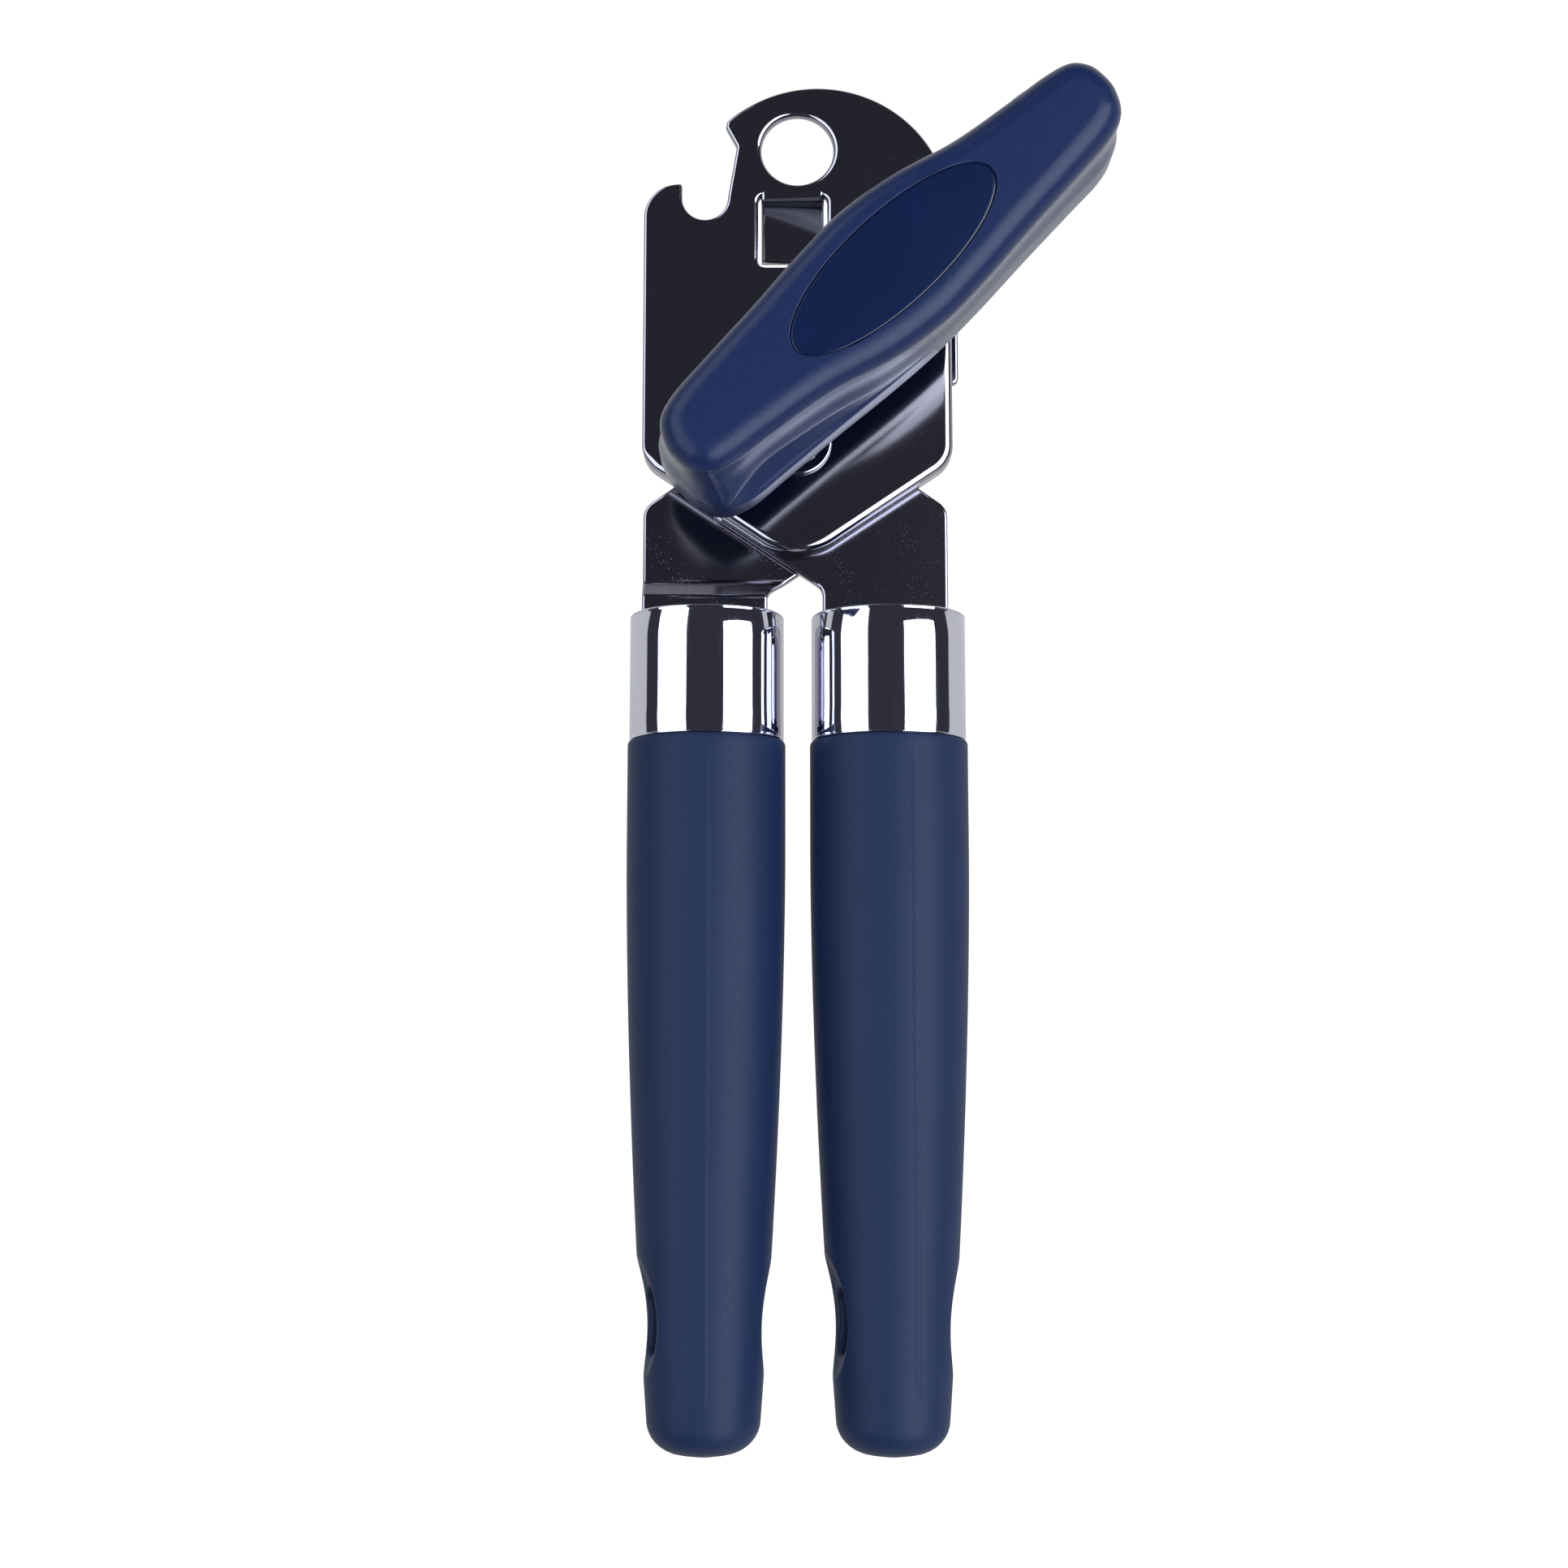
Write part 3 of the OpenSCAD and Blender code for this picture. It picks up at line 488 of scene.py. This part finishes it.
knob = {
    "angle": 44,                       # the wings' turn from +X at rest
    "hubRadius": 6.4 * mm, "baseDrop": 19.4 * mm,
    "lipHeight": 5.4, "creaseHeight": 9.6, "creaseStep": 1.0,
    "shoulder": 15.7, "topRound": 3.7, "waist": 0.35,
    "recessRound": 0.15, "recessFloor": 1.2, "oval": (39.7, 13.7), "lowerRound": 0.8,
    "around": 336,
}
# half an outline each, from the middle of one side round the wing's tip: (along, across) in mm
baseHalf = [(0, -10.9), (9, -10.6), (20, -9.8), (30, -9.2), (37.2, -8.7), (41.3, -7.0), (43.2, -3.6),
            (43.5, 0), (43.2, 3.6), (41.3, 7.0), (37.2, 8.7), (30, 9.2), (20, 9.8), (9, 10.6)]
creaseHalf = [(0, -11.2), (9, -10.7), (19.5, -9.8), (29.5, -9.0), (37.0, -8.4), (41.0, -6.7), (42.9, -3.6),
              (43.2, -0.4), (42.9, 2.4), (40.9, 4.9), (36.9, 6.3), (30, 7.1), (19.8, 8.7), (9.3, 10.5)]
upperHalf = [(0, -11.3), (9, -10.9), (19, -9.9), (29, -9.1), (36.6, -8.3), (40.5, -6.8), (42.5, -3.7),
             (42.9, -0.8), (42.4, 1.9), (40.4, 4.2), (36.4, 5.3), (30, 6.05), (19.5, 7.5), (9.5, 10.1)]
# how deep the finger recess is at each of those points, 1 at its middle
fingerHalf = [0, 0, 0, 0, 0, 0, 0, 0, 0, 0.12, 0.6, 1, 0.9, 0.3]


def bothHalves(half):
    half = np.asarray(half, float)
    return np.concatenate([half, -half])


def makeKnob():
    # rows of closed outlines, height by height: each row is a blend of the base, crease and upper outlines,
    # pushed in along its own outward direction for the lip, the undercut, the waist and the top rounding
    n = knob["around"]
    base, crease, upper = (periodicCurve(bothHalves(h), n) for h in (baseHalf, creaseHalf, upperHalf))
    finger = periodicCurve(np.concatenate([fingerHalf, fingerHalf])[:, None], n)[:, 0].clip(0, 1)

    def outward(loop):
        # a row shrunk to a point has no outward direction, and stays where it is
        t = np.roll(loop, -1, 0) - np.roll(loop, 1, 0)
        shortest = 1e-9
        t /= np.maximum(np.linalg.norm(t, axis=1, keepdims=True), shortest)
        return np.stack([t[:, 1], -t[:, 0]], -1)

    crease = base + (crease - base) * smoothStep(0, 1, finger)[:, None]

    def row(loop, inset, height):
        inset = np.broadcast_to(inset, n)[:, None]
        height = np.broadcast_to(height, n)[:, None]
        return np.concatenate([loop - outward(loop) * inset, height], 1)

    direction = np.arctan2(upper[:, 1] / 13, upper[:, 0] / 40)
    circle = np.stack([np.cos(direction), np.sin(direction)], -1)
    hub = knob["hubRadius"] / mm
    lo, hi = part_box("knob_body")
    height = knob["baseDrop"] / mm
    hubDrop = (hi.z - lo.z) / mm - height
    rows = [row(circle * hub * f, 0, -hubDrop) for f in (0.0, 0.5, 0.94)]
    rows += [row(circle * hub, 0, -hubDrop + 0.3), row(circle * hub, 0, -0.3)]
    rows.append(row(circle * (hub + 0.3), 0, 0))
    rows += [row(circle * (hub + 1), 0, 0), row(base, 0.9, 0)]
    for q in np.radians([0, 22.5, 45, 67.5, 90]):
        rows.append(row(base, knob["lowerRound"] * (1 - math.sin(q)), knob["lowerRound"] * (1 - math.cos(q))))
    lip = knob["lipHeight"]
    creaseAt = lip + 0.6 + (knob["creaseHeight"] - lip - 0.6) * finger ** 0.7
    rows += [row(base, 0, lip - 0.7), row(base, 0.1 * finger, lip - 0.3), row(base, 0.3 * finger, lip - 0.05),
             row(base, 0.62 * finger, lip + 0.12)]
    under = crease - outward(crease) * (knob["creaseStep"] * finger)[:, None]
    lipTop = base - outward(base) * (0.7 * finger)[:, None]
    for f in (0.1, 0.25, 0.45, 0.65, 0.85, 1.0):
        mixed = lipTop * (1 - f) ** 1.2 + under * (1 - (1 - f) ** 1.2)
        rows.append(row(mixed, 0, (lip + 0.14) * (1 - f) + (creaseAt - 0.12) * f))
    rows += [row(crease, 0.9 * knob["creaseStep"] * finger, creaseAt - 0.09),
             row(crease, 0.12 * finger, creaseAt),
             row(crease, 0.03 * finger, creaseAt + 0.05), row(crease, 0, creaseAt + 0.15)]
    shoulder = knob["shoulder"]
    for f in (0.08, 0.2, 0.35, 0.5, 0.65, 0.8, 0.92, 1.0):
        ease = f ** 1.25
        mixed = crease * (1 - ease) + upper * ease
        level = (creaseAt + 0.15) * (1 - f) + shoulder * f
        rows.append(row(mixed, knob["waist"] * math.sin(math.pi * f) ** 2, level))
    r = knob["topRound"]
    for q in np.radians([8, 16, 25, 34, 43, 52, 61, 70, 80, 90]):
        rows.append(row(upper, r * (1 - math.cos(q)), shoulder + (height - shoulder) * math.sin(q)))
    rows.append(row(upper, r + 0.1, height))
    ovalLoop = circle * np.array(knob["oval"]) / 2
    split = len(rows)
    rows.append(row(ovalLoop, -knob["recessRound"] - 0.06, height))
    rr = knob["recessRound"]
    for q in np.radians([0, 30, 60, 90]):
        rows.append(row(ovalLoop, -rr * (1 - math.sin(q)), height - rr * (1 - math.cos(q))))
    floor = height - knob["recessFloor"]
    rows += [row(ovalLoop, 0, floor + 0.2), row(ovalLoop, 0.3, floor)]
    rows += [row(ovalLoop * 0.5, 0, floor), row(ovalLoop * 0, 0, floor)]
    grid = np.array(rows)
    turn = math.radians(knob["angle"])
    sx, sy = (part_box("drive_shaft")[0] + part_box("drive_shaft")[1]).xy / 2
    x = sx + (grid[..., 0] * math.cos(turn) - grid[..., 1] * math.sin(turn)) * mm
    y = sy + (grid[..., 0] * math.sin(turn) + grid[..., 1] * math.cos(turn)) * mm
    z = hi.z - knob["baseDrop"] + grid[..., 2] * mm
    points = np.stack([x, y, z], -1).reshape(-1, 3)
    faces = np.concatenate([gridQuads(split, n), gridQuads(len(rows) - split, n, split * n)])
    # the flat top between the rounded edge and the oval
    rim, oval = np.arange(n) + (split - 1) * n, np.arange(n) + split * n
    tris = geometry.tessellate_polygon([[Vector(v) for v in points[ids]] for ids in (rim, oval)])
    flat = np.concatenate([rim, oval])[np.array(tris)]
    return makePiece("butterfly_knob", points, faces, "drive", knobPlastic, "knob_body", flat)


def makeInlay():
    # an oval pad with a rounded edge and a slight crown: z = top - crown * r^2
    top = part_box("knob_inlay")[1].z
    cx, cy = (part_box("drive_shaft")[0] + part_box("drive_shaft")[1]).xy / 2
    n = 144
    angle = np.arange(n) * 2 * np.pi / n
    a, b, r, crown = knob["oval"][0] / 2 - 0.04, knob["oval"][1] / 2 - 0.04, 0.3, 0.12
    loops = [(a - r * (1 - math.sin(q)), b - r * (1 - math.sin(q)), -crown - r + r * math.cos(q))
             for q in np.radians([90, 67.5, 45, 22.5, 0])]
    ringX, ringY = loops[-1][:2]
    inner = [(ringX * f, ringY * f, -crown * f * f) for f in (0.97, 0.85, 0.7, 0.5, 0.3, 0.12, 0.0)]
    bottom = [(0, 0, -1.4), (a, b, -1.4)]
    profile = np.array(bottom + loops + inner)
    c, s = np.cos(angle)[None, :], np.sin(angle)[None, :]
    lx, ly = profile[:, :1] * c, profile[:, 1:2] * s
    turn = math.radians(knob["angle"])
    x = cx + (lx * math.cos(turn) - ly * math.sin(turn)) * mm
    y = cy + (lx * math.sin(turn) + ly * math.cos(turn)) * mm
    z = np.broadcast_to(top + profile[:, 2:] * mm, x.shape)
    points = np.stack([x, y, z], -1).reshape(-1, 3)
    faces = gridQuads(len(profile), n)
    return makePiece("knob_oval", points, faces, "drive", inlayPlastic, "knob_inlay")


makeKnob()
makeInlay()


plate = {
    "sheet": 1.6, "headRise": 10.4, "headRadius": 21.0, "vDrop": 67.0, "vAngle": 34, "tipRound": 10,
    "sideRound": 5,
    "shoulderY": -5.6, "shoulderRound": 5.5, "notchX": -14.6, "notchY": -7.9, "notchRadius": 3.6,
    "bendRadius": 1.25, "thinRadius": 0.5, "sideRadius": 0.45, "arcRadius": 0.7, "holeRound": 0.8,
    "trayDepth": 4.0, "leftFlange": -17.3, "rightFlange": -38.5,
    "holeRadius": 5.7, "window": (-0.75, -13.4, 10.9, 11.8), "windowRound": 0.65, "tabPush": 5.4,
    "seatHoles": {"shaft_bushing": 4.52, "pivot_rivet": 3.22}, "seatRound": 0.25,
}


def roundedPath(points, radii, spacing):
    # a closed path through points with each corner rounded, resampled to an even spacing
    points = np.asarray(points, float)
    count = len(points)
    parts = []
    for i in range(count):
        b, a, c, r = points[i], points[i - 1], points[(i + 1) % count], radii[i]
        if r <= 0:
            parts.append(b[None])
            continue
        u, v = (a - b) / np.linalg.norm(a - b), (c - b) / np.linalg.norm(c - b)
        half = math.acos(float(np.clip(u @ v, -1, 1))) / 2
        centre = b + (u + v) / np.linalg.norm(u + v) * r / math.sin(half)
        p, q = b + u * r / math.tan(half) - centre, b + v * r / math.tan(half) - centre
        start = math.atan2(p[1], p[0])
        sweep = (math.atan2(q[1], q[0]) - start + 3 * math.pi) % (2 * math.pi) - math.pi
        t = start + sweep * np.linspace(0, 1, max(4, int(abs(sweep) * r / spacing) + 2))
        parts.append(centre + r * np.stack([np.cos(t), np.sin(t)], -1))
    path = np.concatenate(parts)
    return evenPath(path, spacing)


def evenPath(path, spacing):
    closed = np.concatenate([path, path[:1]])
    step = np.linalg.norm(np.diff(closed, axis=0), axis=1)
    along = np.concatenate([[0], np.cumsum(step)])
    count = int(along[-1] / spacing)
    t = np.arange(count) * along[-1] / count
    return np.stack([np.interp(t, along, closed[:, k]) for k in (0, 1)], -1)


def pathOutward(path):
    t = np.roll(path, -1, 0) - np.roll(path, 1, 0)
    t /= np.linalg.norm(t, axis=1, keepdims=True)
    return np.stack([t[:, 1], -t[:, 0]], -1)


def plateOutline():
    lo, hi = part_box("head_plate")
    sx = (hi.x - lo.x) / 2 / mm
    p = plate
    tan = math.tan(math.radians(p["vAngle"]))
    cx, cy, r = sx - p["headRadius"], p["headRise"] - p["headRadius"], p["headRadius"]
    nx, ny, nr = p["notchX"], p["notchY"], p["notchRadius"]
    tip = (nx + 3 + 0.25, 3.75)
    end = math.atan2(tip[1] - cy, tip[0] - cx)
    t = np.linspace(0, end, 60)
    head = np.stack([cx + r * np.cos(t), cy + r * np.sin(t)], -1)[:-1]
    s = np.linspace(0, -math.pi, 24)
    bowl = np.stack([nx + nr * np.cos(s), ny + nr * np.sin(s)], -1)
    corners = [((0, -p["vDrop"]), p["tipRound"]), ((sx, -p["vDrop"] + sx * tan), p["sideRound"])]
    corners += [(tuple(q), 0) for q in head]
    corners += [(tip, 0.35), ((nx + 5, 0.5), 0.6)]
    corners += [(tuple(q), 0) for q in bowl]
    corners += [((nx - nr, p["shoulderY"]), 0.4), ((-sx, p["shoulderY"]), p["shoulderRound"]),
                ((-sx, -p["vDrop"] + sx * tan), p["sideRound"])]
    return roundedPath([c for c, _ in corners], [r for _, r in corners], 0.3)


def holeProfile(radius, sheet):
    # (grow, height) from the flat front round the edge and through to the flat back
    q = np.radians([0, 15, 30, 45, 60, 75, 90])
    front = np.stack([radius * (1 - np.sin(q)), -radius * (1 - np.cos(q))], -1)
    front = np.concatenate([[[radius + 0.2, 0.0]], front])
    back = np.array([[0, -sheet + 0.12], [0.04, -sheet + 0.04], [0.12, -sheet]])
    return np.concatenate([front, back])


def makePlate():
    # outer edge: a bend of radius R, then a flange down to a depth D that changes along the outline,
    # a rounded flange edge and its inner wall; holes: a rounded edge carried round each hole
    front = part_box("head_plate")[1].z
    p = plate
    sheet = p["sheet"]
    path = plateOutline()
    out = pathOutward(path)
    y, x = path[:, 1], path[:, 0]
    left = 1 - smoothStep(p["leftFlange"] - 1.5, p["leftFlange"] + 1.5, y)
    right = 1 - smoothStep(p["rightFlange"] - 1.5, p["rightFlange"] + 1.5, y)
    depth = sheet + (p["trayDepth"] - sheet) * np.where(x < 0, left, right)
    notchPart = (x < -9) & (y > -12) & (x > -19)
    radius = np.where(notchPart, p["thinRadius"], p["bendRadius"])
    radius = np.where((y > -8) & ~notchPart, p["arcRadius"], radius)
    radius = np.where((x < -20) & (y > -50), p["sideRadius"], radius)
    for _ in range(8):
        radius = (np.roll(radius, 1) + radius + np.roll(radius, -1)) / 3
    radius = np.minimum(radius, depth - 0.35)
    q = np.radians([0, 9, 18, 27, 36, 45, 54, 63, 72, 81, 90])
    rows = [(radius + 0.25, 0.0)] + [(radius * (1 - math.sin(t)), -radius * (1 - math.cos(t))) for t in q]
    rows += [(0.0, -(depth - 0.3)), (0.09, -(depth - 0.09)), (0.3, -depth), (sheet - 0.3, -depth),
             (sheet - 0.09, -np.maximum(depth - 0.09, sheet)), (sheet, -np.maximum(depth - 0.3, sheet)),
             (sheet + 0.02, -sheet + 0 * depth), (sheet + 0.4, -sheet + 0 * depth)]
    n = len(path)
    loops = []
    for inset, z in rows:
        inset = np.broadcast_to(inset, n)[:, None]
        z = np.broadcast_to(z, n)[:, None]
        loops.append(np.concatenate([path - out * inset, z], 1))
    points = [np.concatenate(loops)]
    faces = [gridQuads(len(rows), n)]
    fronts, backs = [loops[0]], [loops[-1]]
    frontIds, backIds = [np.arange(n)], [np.arange(n) + (len(rows) - 1) * n]
    total = len(rows) * n
    wx, wy, ww, wh = p["window"]
    t = np.arange(120) * 2 * np.pi / 120
    circle = np.stack([np.cos(t), np.sin(t)], -1)
    corners = [(wx + i * ww / 2, wy + j * wh / 2) for i, j in ((-1, -1), (1, -1), (1, 1), (-1, 1))]
    frameLoop = roundedPath(corners, [p["windowRound"] + 0.5] * 4, 0.3)
    openings = [(p["holeRadius"] * circle, p["holeRound"]), (frameLoop, p["windowRound"])]
    # the holes that the bushing and the rivet sit in, each on its node's own axis
    for node, seatRadius in p["seatHoles"].items():
        a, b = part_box(node)
        openings.append((np.array(((a + b) / 2 / mm).to_2d()) + seatRadius * circle, p["seatRound"]))
    for loop, r in openings:
        away = pathOutward(loop)
        profile = holeProfile(r, sheet)
        m = len(loop)
        ring = np.concatenate([np.concatenate([loop + away * g, np.full((m, 1), z)], 1) for g, z in profile])
        points.append(ring)
        faces.append(gridQuads(len(profile), m, total))
        fronts.append(ring[:m])
        backs.append(ring[-m:])
        frontIds.append(np.arange(m) + total)
        backIds.append(np.arange(m) + total + (len(profile) - 1) * m)
        total += len(ring)
    flats = []
    for loops3, ids in ((fronts, frontIds), (backs, backIds)):
        ids = np.concatenate(ids)
        tris = geometry.tessellate_polygon([[Vector(v) for v in loop] for loop in loops3])
        flats.append(ids[np.array(tris)])
    pts = np.concatenate(points)
    world = np.stack([pts[:, 0] * mm, pts[:, 1] * mm, front + pts[:, 2] * mm], -1)
    return makePiece("cover_plate", world, np.concatenate(faces), "drive_side", plateMirror,
                     "head_plate", np.concatenate(flats))


def makeGuideTab():
    # the rim guide: a strip that leaves the window's top edge in a curve and runs down and back
    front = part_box("head_plate")[1].z
    p = plate
    wx, wy, ww, wh = p["window"]
    width, sheet = ww - 1.0, p["sheet"]
    t = np.linspace(0, 1, 40)
    bend, r = math.radians(58), 2.4
    q = bend * np.clip(t / 0.45, 0, 1)
    rest = np.clip(t - 0.45, 0, None) / 0.55
    yTop = wy + wh / 2 + p["windowRound"] + 0.1
    dip = p["tabPush"] - 1.2 - r * (1 - math.cos(bend))
    # bent back by an arc, then running on down with a slow curve to the front
    y = yTop - r * np.sin(q) - rest * (wh - 1.6 - r * math.sin(bend))
    z = -0.01 - r * (1 - np.cos(q)) - dip * np.sin(rest * np.pi / 2) ** 0.8
    centre = np.stack([y, z], -1)
    tangent = np.gradient(centre, axis=0)
    tangent /= np.linalg.norm(tangent, axis=1, keepdims=True)
    normal = np.stack([-tangent[:, 1], tangent[:, 0]], -1)
    if normal[0, 1] < 0:
        normal = -normal
    u = np.linspace(-1, 1, 17)
    e = 0.25
    section = [(s * (width / 2 - (e if abs(s) == 1 else 0)), 0.0) for s in u]
    loopTop = [(wx + a, b) for a, b in section]
    loopBottom = [(wx + a * 0.98, b - sheet) for a, b in section][::-1]
    sideR = [(wx + width / 2, -e), (wx + width / 2, e - sheet)]
    sideL = [(wx - width / 2, e - sheet), (wx - width / 2, -e)]
    ring = np.array(loopTop + sideR + loopBottom + sideL)
    m = len(ring)
    x = np.broadcast_to(ring[:, 0], (len(t), m))
    yy = centre[:, :1] + normal[:, :1] * ring[:, 1]
    zz = centre[:, 1:] + normal[:, 1:] * ring[:, 1]
    pts = np.stack([x, yy, zz], -1)
    firstCap, lastCap = (np.repeat(end.mean(0, keepdims=True), m, 0)[None] for end in (pts[0], pts[-1]))
    pts = np.concatenate([firstCap, pts, lastCap]).reshape(-1, 3)
    world = np.stack([pts[:, 0] * mm, pts[:, 1] * mm, front + pts[:, 2] * mm], -1)
    faces = gridQuads(len(t) + 2, m)
    return makePiece("rim_guide_tab", world, faces, "drive_side", plateMirror, None)


makePlate()
makeGuideTab()


breakLimits = {"weld": 1e-6, "flatWithin": 0.6, "sharpFrom": 35, "broadArea": 3 * mm * mm}
edgeBreak = {   # node: (body, bevel width in mm, steps, finish)
    "drive_arm": ("drive_side", 0.4, 3, armMirror),
    "cutter_arm": ("cutter_side", 0.4, 3, armMirror),
    "pivot_washer": ("drive_side", 0.25, 3, plateMirror),
    "drive_gear": ("drive", 0.12, 2, gearSteel),
    "cutter_gear": ("cutter", 0.12, 2, gearSteel),
    "feed_wheel": ("drive", 0.1, 2, gearSteel),
    "shaft_nut": ("drive", 0.25, 2, turnedSteel),
}


def breakEdges(node, body, width, steps, finish):
    # a welded copy of the CAD shape whose sharp edges get a small rounded bevel, as tumbling leaves them;
    # its broad faces stay flat and the narrow ones are shaded round
    mesh = nodes[node].data.copy()
    mesh.name = node + "_finished"
    work = bmesh.new()
    work.from_mesh(mesh)
    bmesh.ops.remove_doubles(work, verts=work.verts, dist=breakLimits["weld"])
    flatWithin, sharpFrom = math.radians(breakLimits["flatWithin"]), math.radians(breakLimits["sharpFrom"])
    bmesh.ops.dissolve_limit(work, angle_limit=flatWithin, verts=work.verts, edges=work.edges)
    sharp = [e for e in work.edges if len(e.link_faces) == 2 and e.calc_face_angle() > sharpFrom]
    bmesh.ops.bevel(work, geom=sharp, offset=width * mm, segments=steps, profile=0.5, affect="EDGES",
                    clamp_overlap=False)
    for f in work.faces:
        f.smooth = f.calc_area() < breakLimits["broadArea"]
    work.to_mesh(mesh)
    work.free()
    piece = bpy.data.objects.new(node + "_finished", mesh)
    bpy.context.scene.collection.objects.link(piece)
    mesh.materials.clear()
    mesh.materials.append(finish)
    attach(piece, body)
    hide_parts(node)


for node, (body, width, steps, finish) in edgeBreak.items():
    breakEdges(node, body, width, steps, finish)
print("edges broken on", len(edgeBreak), "parts")


studio = {
    "floorWhite": 1.0, "floorGlow": 0.56, "overhead": (0.043, 0.043, 0.057, 1),
    "floorHalf": 3.0, "floorCells": 12, "floorGap": 0.0002,
    "softboxColour": (0.86, 0.92, 1.0), "softboxMiddle": -0.08,
    "rightBox": {
        "angle": 39, "distance": 0.62, "width": 0.51, "length": 1.1, "along": -0.25, "radiance": 5.6},
    "leftBox": {
        "angle": 44, "distance": 0.62, "width": 0.5, "length": 1.4, "along": 0.25, "radiance": 2.6},
    "camera": {"lens": 51.54, "place": (-0.00212, -0.14789, 0.3392), "tilt": 7.82},
}


def makeFloor():
    lowest = cadBounds[0].z
    cells = studio["floorCells"]
    t = np.linspace(-studio["floorHalf"], studio["floorHalf"], cells + 1)
    x, y = np.meshgrid(t, t)
    points = np.stack([x, y, np.full_like(x, lowest - studio["floorGap"])], -1).reshape(-1, 3)
    i = np.arange(cells)[:, None] * (cells + 1) + np.arange(cells)[None, :]
    faces = np.stack([i, i + 1, i + cells + 2, i + cells + 1], -1).reshape(-1, 4)
    mesh = bpy.data.meshes.new("pale floor")
    mesh.from_pydata(points.tolist(), [], faces.tolist())
    floor = bpy.data.objects.new("pale_floor", mesh)
    bpy.context.scene.collection.objects.link(floor)
    # white acrylic lit from below, so shadows all but vanish; mirrors get a dimmer white than the camera
    mat, tree, shader = newMaterial("lit white acrylic", {
        "Base Color": (0.1, 0.1, 0.1, 1), "Roughness": 0.9, "Specular IOR Level": 0.0,
        "Emission Color": (1, 1, 1, 1)})
    seen = addNode(tree, "ShaderNodeLightPath")
    glow = addNode(tree, "ShaderNodeMapRange", {
        "To Min": studio["floorGlow"],
        "To Max": studio["floorWhite"]}, {"Value": seen.outputs["Is Camera Ray"]})
    tree.links.new(glow.outputs[0], shader.inputs["Emission Strength"])
    mesh.materials.append(mat)


def makeSoftbox(name, box, side):
    # an area light facing the part, its middle at an angle from straight up
    light = bpy.data.lights.new(name, "AREA")
    light.shape = "RECTANGLE"
    light.size, light.size_y = box["width"], box["length"]
    light.color = studio["softboxColour"]
    light.energy = box["radiance"] * math.pi * box["width"] * box["length"]
    lamp = bpy.data.objects.new(name, light)
    a = math.radians(box["angle"])
    out, up = box["distance"] * math.sin(a), box["distance"] * math.cos(a)
    lamp.location = (side * out, studio["softboxMiddle"] + box["along"], up)
    lamp.rotation_euler = (0, side * a, 0)
    lamp.visible_camera = False
    bpy.context.scene.collection.objects.link(lamp)


def makeWorld():
    # white behind the part for the camera, and a dim overhead for everything that mirrors it
    world = bpy.data.worlds.new("studio")
    bpy.context.scene.world = world
    world.use_nodes = True
    tree = world.node_tree
    back = tree.nodes["Background"]
    seen = addNode(tree, "ShaderNodeLightPath")
    colour = addNode(tree, "ShaderNodeMix", {"data_type": "RGBA", 6: studio["overhead"], 7: (1, 1, 1, 1)},
                     {0: seen.outputs["Is Camera Ray"]})
    tree.links.new(colour.outputs[2], back.inputs["Color"])


def makeCamera():
    # seen from above the handles, tilted a little towards the head
    data = bpy.data.cameras.new("camera")
    data.sensor_width = 36
    data.lens = studio["camera"]["lens"]
    data.clip_start, data.clip_end = 0.01, 20
    camera = bpy.data.objects.new("camera", data)
    camera.location = studio["camera"]["place"]
    camera.rotation_euler = (math.radians(studio["camera"]["tilt"]), 0, 0)
    bpy.context.scene.collection.objects.link(camera)
    bpy.context.scene.camera = camera


makeFloor()
makeSoftbox("right softbox", studio["rightBox"], 1)
makeSoftbox("left softbox", studio["leftBox"], -1)
makeWorld()
makeCamera()
scene = bpy.context.scene
scene.view_settings.view_transform = "Standard"
print("floor, lights and camera set")
